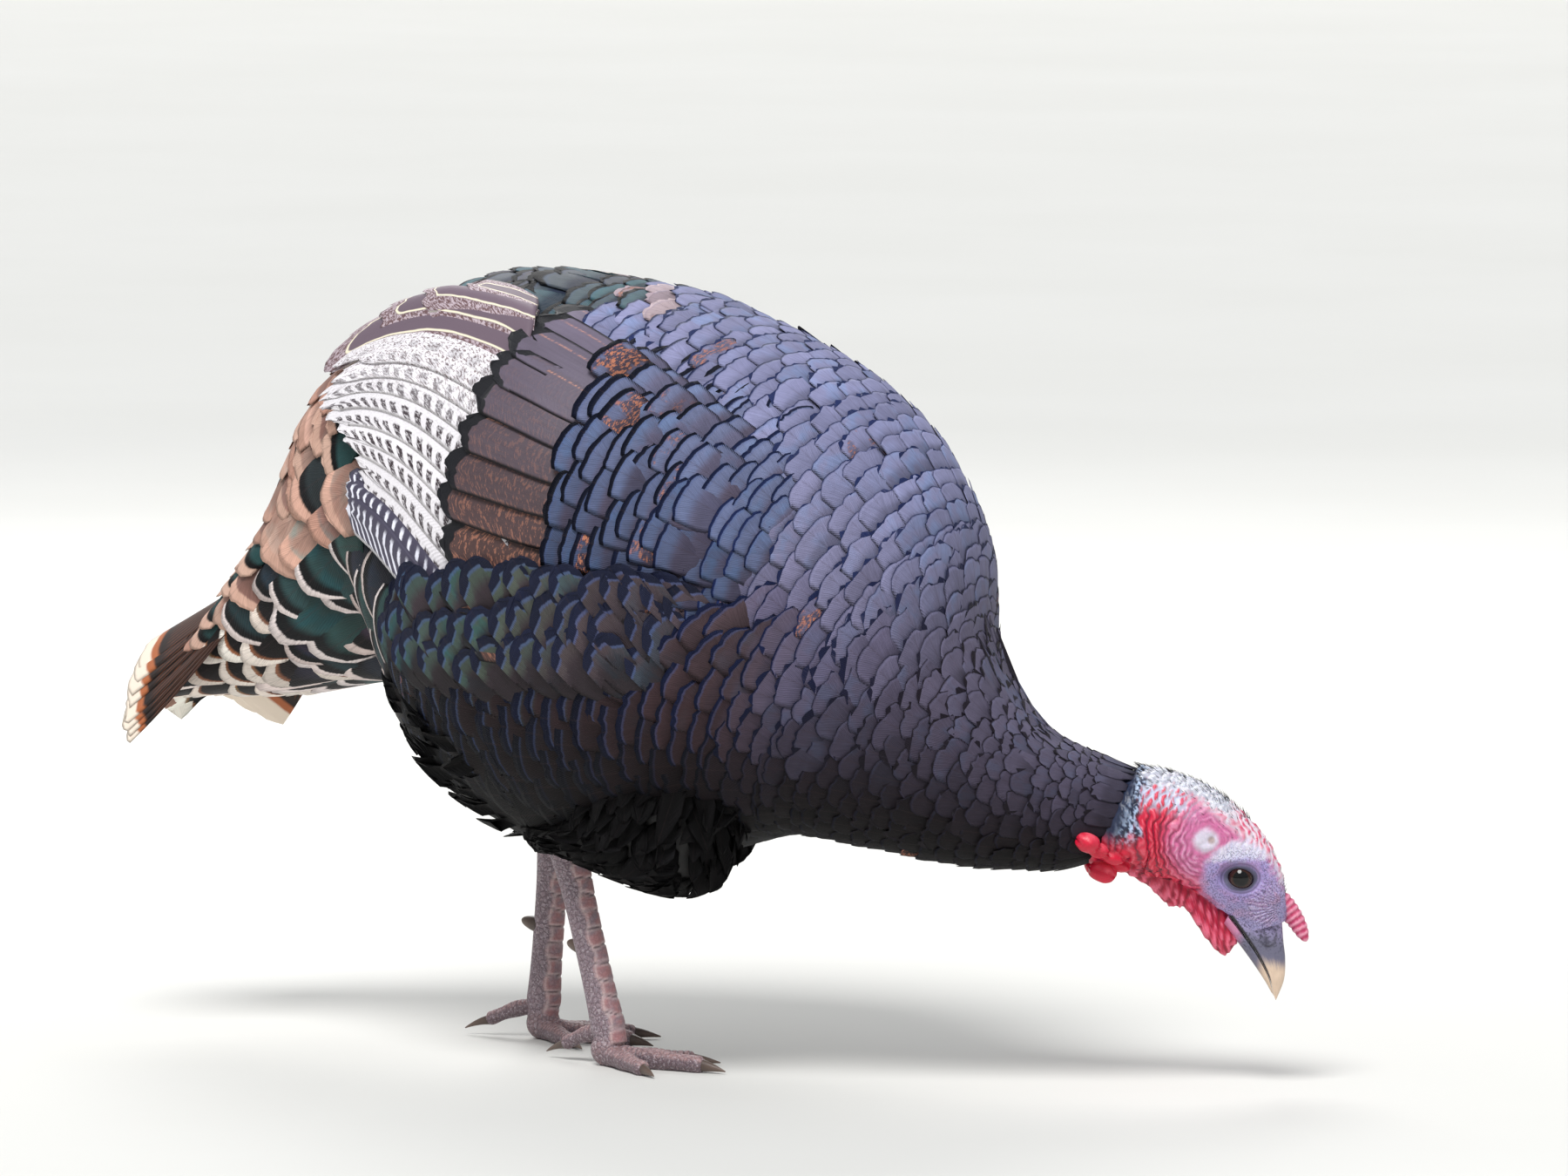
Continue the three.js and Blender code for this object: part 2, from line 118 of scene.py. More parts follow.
# A procedural material as it is put together: each method adds one node and hands on its output.
class Finish:
    def __init__(self, name, **settings):  # the shader with its sockets set
        self.material = bpy.data.materials.new(name)
        self.material.use_nodes = True
        self.tree = self.material.node_tree
        self.shader = self.tree.nodes["Principled BSDF"]
        for socket, value in settings.items():
            self.shader.inputs[socket.replace("_", " ")].default_value = value

    def add(self, kind, inputs, output=0, **properties):  # a node, fed by sockets or by values
        made = self.tree.nodes.new(kind)
        for key, value in properties.items():
            setattr(made, key, value)
        for key, value in inputs.items():
            if isinstance(value, bpy.types.NodeSocket):
                self.tree.links.new(value, made.inputs[key])
            else:
                made.inputs[key].default_value = value
        return made.outputs[output]

    def maths(self, operation, *values):
        return self.add("ShaderNodeMath", dict(enumerate(values)), operation=operation)

    def plus(self, a, b):
        return self.maths("ADD", a, b)

    def minus(self, a, b):
        return self.maths("SUBTRACT", a, b)

    def times(self, a, b):
        return self.maths("MULTIPLY", a, b)

    def ramp(self, value, low, high):  # 0 below low, 1 above high, smooth between
        inputs = {0: value, 1: low, 2: high, 3: 0.0, 4: 1.0}
        return self.add("ShaderNodeMapRange", inputs, interpolation_type="SMOOTHSTEP")

    def within(self, value, low, high, edge):  # 1 between low and high
        rise, fall = self.ramp(value, low - edge, low + edge), self.ramp(value, high + edge, high - edge)
        return self.times(rise, fall)

    def blend(self, share, a, b, how="MIX"):
        return self.add("ShaderNodeMix", {0: share, 6: a, 7: b}, 2, data_type="RGBA", blend_type=how)

    def noise(self, vector, scale, detail=3.0, rough=0.5):
        inputs = {"Vector": vector, "Scale": scale, "Detail": detail, "Roughness": rough}
        return self.add("ShaderNodeTexNoise", inputs)

    def cells(self, vector, scale, feature="F1", output=0, random=1.0):
        inputs = {"Vector": vector, "Scale": scale, "Randomness": random}
        return self.add("ShaderNodeTexVoronoi", inputs, output, feature=feature)

    def place(self):
        return self.add("ShaderNodeTexCoord", {}, 3)

    def map(self, name):
        return self.add("ShaderNodeUVMap", {}, 0, uv_map=name)

    def read(self, name, output=0):
        return self.add("ShaderNodeAttribute", {}, output, attribute_name=name)

    def split(self, vector):
        node = self.add("ShaderNodeSeparateXYZ", {"Vector": vector}).node
        return node.outputs[0], node.outputs[1], node.outputs[2]

    def three(self, name):  # the three numbers kept at each point
        return self.split(self.read(name, 1))

    def join(self, x, y, z=0.0):
        return self.add("ShaderNodeCombineXYZ", {0: x, 1: y, 2: z})

    def vane(self):  # across and along one feather from 0 to 1, and a shift of its own
        across, along, _ = self.split(self.map("Vane"))
        luck, _, _ = self.three("luck")
        return across, along, self.times(luck, 40.0)

    # Noise stretched along a feather: how often it changes along it and across it.
    def grain(self, along, often, across, wide, shift, rough=0.7, detail=3.0):
        stretched = self.join(self.times(along, often), self.times(across, wide), shift)
        return self.noise(stretched, 1.0, detail, rough)

    def swayed(self, value, noise, amount):  # a value pushed to and fro by a noise
        return self.plus(value, self.times(self.minus(noise, 0.5), amount))

    def fromShaft(self, across):  # 0 at the shaft, 1 at the edges
        return self.maths("ABSOLUTE", self.minus(self.times(across, 2.0), 1.0))

    def colour(self, value):
        self.tree.links.new(value, self.shader.inputs["Base Color"])

    def roughness(self, value):
        self.tree.links.new(value, self.shader.inputs["Roughness"])

    def bump(self, height, strength, distance):
        inputs = {"Strength": strength, "Distance": distance, "Height": height}
        self.tree.links.new(self.add("ShaderNodeBump", inputs), self.shader.inputs["Normal"])


def floorFinish():  # two pale greys clouded by a slow noise
    look = Finish("paleFloor", Roughness=0.75)
    grain = look.noise(look.place(), 2.0, 4.0)
    look.colour(look.blend(grain, paint(214, 213, 208), paint(222, 221, 217)))
    return look.material


# A round floor that bends up into a low wall all round: a profile turned about the middle.
def makeFloor():
    count = 72
    bend = np.linspace(0, math.pi / 2, 12)
    out = np.concatenate([[0.6, 5.0], 12.0 + 2.5 * np.sin(bend), [14.5]])
    up = np.concatenate([[0.0, 0.0], 2.5 - 2.5 * np.cos(bend), [3.6]])
    turn = circle(count)
    flat = out[:, None, None] * np.stack([np.cos(turn), np.sin(turn)], -1)
    points = np.concatenate([flat, np.broadcast_to(up[:, None, None], (len(up), count, 1))], axis=2)
    row, column = np.meshgrid(np.arange(len(out) - 1), np.arange(count), indexing="ij")
    after = (column + 1) % count
    quads = np.stack([row, row + 1, row + 1, row], -1) * count + np.stack([column, column, after, after], -1)
    mesh = bpy.data.meshes.new("floor")
    mesh.from_pydata(points.reshape(-1, 3).tolist(), [], quads.reshape(-1, 4).tolist() + [list(range(count))])
    mesh.shade_smooth()
    mesh.materials.append(floorFinish())
    floor = bpy.data.objects.new("floor", mesh)
    bpy.context.scene.collection.objects.link(floor)


makeFloor()
print("camera, floor and light")


# Puts points and faces of equal or mixed lengths into a mesh, with its maps and point values.
def makePiece(name, points, corners, lengths, finish, maps=None, values=None, flat=None,
              stands=()):
    mesh = bpy.data.meshes.new(name)
    mesh.vertices.add(len(points))
    mesh.vertices.foreach_set("co", np.ascontiguousarray(points, np.float32).ravel())
    mesh.loops.add(len(corners))
    mesh.loops.foreach_set("vertex_index", corners.astype(np.int32))
    mesh.polygons.add(len(lengths))
    starts = np.concatenate([[0], np.cumsum(lengths)[:-1]])
    mesh.polygons.foreach_set("loop_start", starts.astype(np.int32))
    mesh.update(calc_edges=True)
    mesh.validate()
    for label, uv in (maps or {}).items():
        layer = mesh.uv_layers.new(name=label)
        layer.uv.foreach_set("vector", np.ascontiguousarray(uv[corners], np.float32).ravel())
    for label, value in (values or {}).items():
        kind, field = ("FLOAT_COLOR", "color") if value.shape[1] == 4 else ("FLOAT_VECTOR", "vector")
        layer = mesh.attributes.new(label, kind, "POINT")
        layer.data.foreach_set(field, np.ascontiguousarray(value, np.float32).ravel())
    mesh.shade_smooth()
    if flat is not None:
        layer = mesh.attributes.get("sharp_face") or mesh.attributes.new("sharp_face", "BOOLEAN", "FACE")
        layer.data.foreach_set("value", flat)
    mesh.materials.append(finish)
    piece = bpy.data.objects.new(name, mesh)
    bpy.context.scene.collection.objects.link(piece)
    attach(piece, "root")
    if stands:
        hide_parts(*stands)
    return piece


# Quads of a grid of rows by columns, its columns joined round when closed, with a face over each
# open end when capped.
def gridFaces(rows, columns, closed=False, capped=False):
    across = columns if closed else columns - 1
    r, c = np.meshgrid(np.arange(rows - 1), np.arange(across), indexing="ij")
    n = (c + 1) % columns
    quads = np.stack([r * columns + c, r * columns + n, (r + 1) * columns + n, (r + 1) * columns + c], -1)
    corners, lengths = quads.reshape(-1), np.full(quads.size // 4, 4)
    if capped:
        ends = np.concatenate([np.arange(columns)[::-1], (rows - 1) * columns + np.arange(columns)])
        corners, lengths = np.concatenate([corners, ends]), np.concatenate([lengths, [columns, columns]])
    return corners, lengths


headTurn = math.radians(34)
betweenEyes = np.array([405.0, 94.0, 121.0])


def inHead(forward, up, side=0.0):  # a place in the head's own plane, in mm from between the ankles
    forward, up, side = np.broadcast_arrays(*(np.asarray(v, float) for v in (forward, up, side)))
    x = forward * math.cos(headTurn) - side * math.sin(headTurn)
    y = forward * math.sin(headTurn) + side * math.cos(headTurn)
    return np.stack([x, y, up], -1) + betweenEyes


def fromHead(points):  # forward, up and side in the head's plane, in mm, of places in metres
    rel = points / mm - ankleMiddle - betweenEyes
    forward = rel[..., 0] * math.cos(headTurn) + rel[..., 1] * math.sin(headTurn)
    side = rel[..., 1] * math.cos(headTurn) - rel[..., 0] * math.sin(headTurn)
    return forward, rel[..., 2], side


# Stations from the rump to the neck: middle x, y, z, half width, reach above and below.
bodyRows = np.array([
    [-264, 0, 206, 34, 16, 14],
    [-216, 0, 240, 54, 30, 50],
    [-168, 0, 280, 70, 43, 86],
    [-116, 0, 312, 84, 98, 100],
    [-60, 0, 314, 110, 144, 134],
    [10, 0, 294, 134, 164, 164],
    [82, 0, 273, 140, 165, 164],
    [147, 0, 252, 129, 156, 138],
    [200, 2, 229, 100, 126, 104],
    [243, 10, 203, 75, 66, 80],
    [284, 24, 178, 56, 39, 60],
    [318, 40, 161, 42, 35, 41],
    [348, 56, 153, 31, 33, 25],
], float)
# Stations of the head: forward and up in its plane, half width, half height.
headRows = np.array([
    [-52, 31, 27, 30],
    [-32, 24, 24, 28.5],
    [-11.5, 9, 19.5, 25.5],
    [0.5, -5.5, 17.5, 21.5],
    [6.8, -18.5, 12.5, 16.5],
    [10, -29.5, 9, 13],
], float)
headRows = np.hstack([inHead(headRows[:, 0], headRows[:, 1]), headRows[:, [2, 3, 3]]])
stations = np.vstack([bodyRows, headRows])
lastStation = len(stations) - 1


def toFrame(points):  # from mm about the ankles' middle to metres in the frame
    return (points + ankleMiddle) * mm


# A smooth curve through rows of numbers: each span is a cubic whose end slopes are half the step
# between the neighbours. Gives the values at t and their slopes.
def readRows(rows, t):
    last = len(rows) - 1
    t = np.asarray(t, float)
    i = np.clip(np.floor(t).astype(int), 0, last - 1)
    w = (t - i)[..., None]
    more = np.vstack([2 * rows[0] - rows[1], rows, 2 * rows[-1] - rows[-2]])
    before, a, b, after = more[i], more[i + 1], more[i + 2], more[i + 3]
    m, n = (b - before) / 2, (after - a) / 2
    value = (2 * w**3 - 3 * w**2 + 1) * a + (w**3 - 2 * w**2 + w) * m
    value = value + (3 * w**2 - 2 * w**3) * b + (w**3 - w**2) * n
    slope = (6 * w**2 - 6 * w) * (a - b) + (3 * w**2 - 4 * w + 1) * m + (3 * w**2 - 2 * w) * n
    return value, slope


def unit(vector):  # a vector over its own length
    return vector / np.maximum(np.linalg.norm(vector, axis=-1, keepdims=True), 1e-9)


# A point of the body: along its middle line by s stations, round it by a turn from the left side
# over the back, and out by a lift in mm from the tips of the feathers. Slightly squarer than an oval.
def bodyPoint(s, turn, lift=0.0):
    s, turn, lift = np.broadcast_arrays(s, turn, lift)
    value, slope = readRows(stations, s)
    forward = unit(slope[..., :3])
    side = unit(np.cross(np.array([0.0, 0.0, 1.0]), forward))
    rise = np.cross(forward, side)
    c, z = np.cos(turn), np.sin(turn)
    reach = np.where(z > 0, value[..., 4], value[..., 5]) + lift
    out = (value[..., 3] + lift) * np.sign(c) * np.abs(c) ** 0.93
    high = reach * np.sign(z) * np.abs(z) ** 0.93
    return toFrame(value[..., :3] + side * out[..., None] + rise * high[..., None])


def stretch(s, turn, surface=bodyPoint):  # mm of a surface to one step along it and one round it
    d = 0.02
    along = np.linalg.norm(surface(s + d, turn) - surface(s - d, turn), axis=-1) / (2 * d * mm)
    around = np.linalg.norm(surface(s, turn + d) - surface(s, turn - d), axis=-1) / (2 * d * mm)
    return along, around


def turnOf(side, degrees):  # degrees above the bird's side, as a turn round the body
    turn = np.radians(degrees)
    return np.where(side > 0, turn, math.pi - turn)


def soft(value, low, high):  # 0 at low, 1 at high, smooth between
    w = np.clip((value - low) / (high - low), 0, 1)
    return w * w * (3 - 2 * w)


def lerp(a, b, k):  # a at 0, b at 1
    return a + (b - a) * k


def hill(value, middle, wide):  # 1 at the middle, falling away over a width
    return np.exp(-(((value - middle) / wide) ** 2))


tuftPatch = 0.003  # a short feather's share of the bake map


# Lays every vane of a piece over a surface. A vane is a grid: x runs from its root to its tip and u
# from edge to edge. It starts at its root's place, runs towards the tail turned by its flow, rises
# from a low lift to a high one, is crowned across, and its tip is cut back by tipRound * |u| ^ tipPower.
# Under the vane a keel closes it.
def plumes(name, roots, shape, finish, surface=bodyPoint, stands=(), seed=1):
    rng = np.random.default_rng(seed)
    form = {
        "columns": 9, "rows": 8, "rootWide": 0.45, "tipRound": 0.3, "tipPower": 2.4, "crown": 0.1,
        "ragged": 0.025, "roll": 0.02, "thick": 0.025, "wander": 3.0, "loose": 0.35, "patch": tuftPatch,
        "side": None, "mirror": 1,
    } | shape
    count, columns, rows = len(roots["s"]), form["columns"], form["rows"]
    u = np.linspace(-1, 1, columns)
    x = 1 - (1 - np.linspace(0, 1, rows)) ** 1.25
    s, turn = roots["s"][:, None, None], roots["turn"][:, None, None]
    length, width = roots["length"][:, None, None], roots["width"][:, None, None]
    sided = np.where(np.cos(roots["turn"]) >= 0, 1.0, -1.0) if form["side"] is None else form["side"]
    flow = roots["flow"] + rng.normal(0, form["wander"], count)
    flow = np.radians(flow * sided)[:, None, None]
    uu, xx = np.broadcast_arrays(u[None, None, :], x[None, :, None])
    nick = rng.uniform(0, 1, (count, 1, columns)) ** 3 * form["ragged"] * 3
    along = length * (xx * (1 - form["tipRound"] * np.abs(uu) ** form["tipPower"]) - nick * xx**6)
    wide = form["rootWide"] + (1 - form["rootWide"]) * soft(xx, -0.1, 0.5)
    across = width / 2 * uu * wide
    low, high = roots["low"][:, None, None], roots["high"][:, None, None]
    lift = low + (high - low) * xx + form["crown"] * width * (1 - uu**2) * wide
    lift = lift + form["roll"] * width * uu
    lift = lift + rng.normal(0, form["loose"], (count, 1, 1)) * xx
    keel = [v[:, :, columns // 2] for v in (along, across, lift - form["thick"] * width - 0.15)]
    along, across, lift = (v.reshape(count, -1) for v in (along, across, lift))
    along, across = np.hstack([along, keel[0]]), np.hstack([across, keel[1]])
    lift = np.hstack([lift, keel[2]])
    alongStep, aroundStep = (np.maximum(v, 4.0) for v in stretch(s[..., 0], turn[..., 0], surface))
    flow = flow[..., 0]
    toTail = along * np.cos(flow) - across * np.sin(flow)
    around = along * np.sin(flow) + across * np.cos(flow)
    points = surface(s[..., 0] - toTail / alongStep, turn[..., 0] + around / aroundStep, lift)
    each = columns * rows + rows
    r, c = np.meshgrid(np.arange(rows - 1), np.arange(columns - 1), indexing="ij")
    here = r * columns + c
    top = np.stack([here, here + columns, here + columns + 1, here + 1], -1)
    r = np.arange(rows - 1)
    edge, spine = r * columns, columns * rows + r
    under = np.concatenate([
        np.stack([edge, spine, spine + 1, edge + columns], -1),
        np.stack([spine, edge + columns - 1, edge + 2 * columns - 1, spine + 1], -1),
    ])
    ends = np.concatenate([
        np.arange(columns), [columns * rows],
        (rows - 1) * columns + np.arange(columns)[::-1], [columns * rows + rows - 1],
    ])
    corners = np.concatenate([top.reshape(-1), under.reshape(-1), ends])
    quads = top.shape[0] * top.shape[1]
    lengths = np.concatenate([np.full(quads + len(under), 4), [columns + 1, columns + 1]])
    flat = np.concatenate([np.zeros(quads, bool), np.ones(len(under) + 2, bool)])
    corners = (corners[None, :] + np.arange(count)[:, None] * each).reshape(-1)
    lengths, flat = np.tile(lengths, count), np.tile(flat, count)
    vane = np.stack([(1 + uu[0] * form["mirror"]) / 2, xx[0]], -1).reshape(-1, 2)
    vane = np.vstack([vane, np.stack([np.full(rows, 0.5), x], -1)])
    size = form["patch"] * (roots["length"] / 12 if form["patch"] == tuftPatch else np.ones(count))
    size = np.clip(size, tuftPatch, 0.2)[:, None, None]
    spot = roots.get("spot", unwrapOf(roots["s"], roots["turn"]))[:, None, :]
    bake = np.clip(spot + (vane[None] - np.array([0.5, 0.0])) * size, 0.001, 0.999)
    luck = np.stack([rng.uniform(0, 1, count), rng.uniform(0, 1, count), roots["length"] / 30], -1)
    spread = lambda value: np.repeat(value, each, axis=0)
    values = {label: spread(roots[label]) for label in ("base", "near", "tip", "marks")}
    values["luck"] = spread(luck)
    maps = {"Vane": np.tile(vane, (count, 1)), "OFBake": bake.reshape(-1, 2)}
    makePiece(name, points.reshape(-1, 3), corners, lengths, finish, maps, values, flat, stands)
    print(name, count, "feathers,", int((lengths - 2).sum()), "triangles")


def unwrapOf(s, turn):  # a place on the flattened skin: round the body across, along the body up
    across = 0.02 + 0.96 * np.mod(turn / (2 * math.pi) + 0.25, 1.0)
    return np.stack([across, 0.03 + 0.94 * np.clip(s, 0, lastStation) / lastStation], -1)


# Rows of roots from the tail towards the head, an exposure apart, each row's roots a pitch apart
# and half a pitch on from the row before.
def layRows(sFrom, sTo, exposure, pitch, keep, seed):
    rng = np.random.default_rng(seed)
    ring = np.linspace(-math.pi, math.pi, 361)
    found, s, odd = [], sFrom, 0
    while s < sTo:
        along, around = stretch(np.full(361, s), ring)
        arc = np.concatenate([[0], np.cumsum((around[1:] + around[:-1]) / 2 * (ring[1] - ring[0]))])
        count = max(6, int(arc[-1] / pitch(s)))
        at = (np.arange(count) + 0.5 * odd + rng.uniform(-0.13, 0.13, count)) / count * arc[-1]
        turns = np.interp(np.mod(at, arc[-1]), arc, ring)
        rows = s + rng.uniform(-0.12, 0.12, count) * exposure(s) / along.mean()
        found.append(np.stack([rows, turns], -1)[keep(rows, turns)])
        s += exposure(s) / along.mean()
        odd = 1 - odd
    return np.concatenate(found).T


def above(turn):  # degrees above the bird's side, from -90 under it to 90 over it
    return np.degrees(np.arcsin(np.clip(np.sin(turn), -1, 1)))


def tone(count, colour, spread=0.0, rng=None, last=1.0):  # one colour for each feather, a little varied
    colour = np.broadcast_to(np.asarray(colour, float)[..., :3], (count, 3))
    vary = 1 + (rng.normal(0, spread, (count, 1)) if rng is not None else 0)
    last = np.broadcast_to(np.asarray(last, float), (count,))
    return np.hstack([np.clip(colour * vary, 0, 1), last[:, None]])


# A contour feather: barbs fan from the shaft to the tip and streak its base colour, with rusty
# flecks where marked; a near band and a tip band start at their own shares of the length, with a
# faint blue line between them, a painted highlight of the feather's sheen. Towards the root the
# colour is painted darker as shade.
def featherFinish(name, detail):
    detail = {
        "barbs": 17, "slant": 13, "streak": 0.8, "shaft": 0.2, "sheen": 0.14, "rootShade": 0.66, "roughness": 0.6,
        "glint": 0.3, "dim": 0.78,
    } | detail
    look = Finish(name, Roughness=detail["roughness"], Specular_IOR_Level=detail["sheen"])
    across, along, _ = look.split(look.map("Vane"))
    luckA, luckB, _ = look.three("luck")
    rust, band, edge = look.three("marks")
    off = look.fromShaft(across)
    lie = look.minus(look.times(off, detail["barbs"]), look.times(along, detail["slant"]))
    shift = look.times(luckA, 50.0)
    strands = look.grain(lie, 1.1, along, 2.2, shift, 0.65, 4.0)
    cloud = look.noise(look.join(look.times(along, 2.0), look.times(across, 2.0), shift), 1.5, 2.0)
    waver = look.swayed(along, strands, 0.05)
    nearFrom = look.read("near", 3)
    tipFrom = look.read("tip", 3)
    nearShare = look.ramp(waver, look.minus(nearFrom, band), look.plus(nearFrom, band))
    tipShare = look.ramp(waver, look.minus(tipFrom, edge), look.plus(tipFrom, edge))
    colour = look.blend(nearShare, look.read("base", 0), look.read("near", 0))
    gleam = look.times(look.ramp(cloud, 0.4, 0.65), detail["glint"])
    gleam = look.times(look.ramp(luckB, 0.35, 0.9), gleam)
    colour = look.blend(gleam, colour, look.blend(1.0, colour, (0.55, 1.1, 1.25, 1), "MULTIPLY"))
    flecks = look.grain(along, 26.0, across, 9.0, shift)
    patch = look.ramp(look.plus(cloud, look.times(rust, 0.3)), 0.62, 0.74)
    colour = look.blend(look.times(patch, look.times(rust, 0.8)), colour, paint(62, 42, 44))
    flecks = look.times(look.times(look.ramp(flecks, 0.5, 0.56), rust), patch)
    colour = look.blend(flecks, colour, paint(214, 138, 106))
    # painted highlight: a faint blue sheen line just before the tip band, as strong as the base colour's
    # fourth number
    before = look.ramp(waver, look.minus(tipFrom, 0.06), look.minus(tipFrom, 0.02))
    colour = look.blend(look.times(before, look.read("base", 3)), colour, paint(74, 96, 150))
    colour = look.blend(tipShare, colour, look.read("tip", 0))
    streak = detail["dim"] * detail["streak"]
    level = look.plus(detail["dim"] * (1.0 - detail["streak"] * 0.5), look.times(strands, streak))
    level = look.times(level, look.plus(0.78, look.times(cloud, 0.44)))
    gain = look.times(look.ramp(along, 0.45, 0.85), 1 - detail["rootShade"])  # painted shade: darker towards the root, under the feather that lies over it
    level = look.times(level, look.plus(detail["rootShade"], gain))
    rims = look.ramp(off, 1.0, 0.86)  # the vane's sides darken
    level = look.times(level, look.plus(0.92, look.times(rims, 0.08)))
    colour = look.blend(1.0, colour, look.join(level, level, level), "MULTIPLY")
    shaft = look.times(look.ramp(off, 0.05, 0.0), detail["shaft"])
    look.colour(look.blend(shaft, colour, paint(58, 44, 44)))
    ribs = look.maths("SINE", look.times(lie, 6.283))
    height = look.plus(look.times(ribs, 0.3), look.plus(strands, look.times(shaft, 0.8)))
    look.bump(height, 0.5, 0.0006)
    look.roughness(look.plus(detail["roughness"] - 0.1, look.times(strands, 0.22)))
    return look.material


contour = featherFinish("contourFeathers", {})
glossy = featherFinish("glossyFeathers", {"glint": 0.9, "dim": 0.95, "rootShade": 0.5, "sheen": 0.25})


coat = {
    "depth": 11.0,  # mm from the skin to the feather tips
    "exposure": [(0, 15), (2, 13), (4, 12), (6, 10.5), (8, 9), (10, 9), (11.4, 6.5), (12.3, 3.6)],
    "pitch": [(0, 24), (2, 24), (3.2, 30), (6, 30), (8, 22), (10, 15), (11.4, 10.5), (12.3, 6)],
    "bareEdge": 0.55,  # how far the bare skin runs back under the throat, in stations
}


def fromPairs(pairs, s):  # read between pairs of (station, value)
    at, value = np.array(pairs).T
    return np.interp(s, at, value)


def bareFrom(turn):  # where the feathers end and the bare skin begins
    return 12.18 - coat["bareEdge"] * (1 - np.sin(turn)) / 2


def coverEdge(degrees):  # where the flight feathers come out from under the coverts
    return 5.43 - degrees / 60


def flankLine(s):  # how far up the side the flank feathers reach over the wing, in degrees
    return np.interp(s, [3.4, 4.85, 6.2, 7.2, 8.6], [-16, -10, 3, 9, 14])


def underWing(s, turn):  # hidden well under the folded wing
    a = above(turn)
    front = 7.25 - 0.0003 * (a - 25) ** 2
    return (a > flankLine(s) + 1) & (a < 62 - 4 * (s - 4)) & (s > 3.6 + 0.0003 * (a - 30) ** 2) & (s < front)


def shade(at, *steps):  # a colour for each feather, read off between steps of (place, colour)
    places = [step[0] for step in steps]
    levels = np.array([paint(*step[1])[:3] for step in steps])
    return np.stack([np.interp(at, places, levels[:, i]) for i in range(3)], -1)


def chosen(pick, new, old):  # new colours for the picked feathers
    return np.where(pick[:, None], new, old)
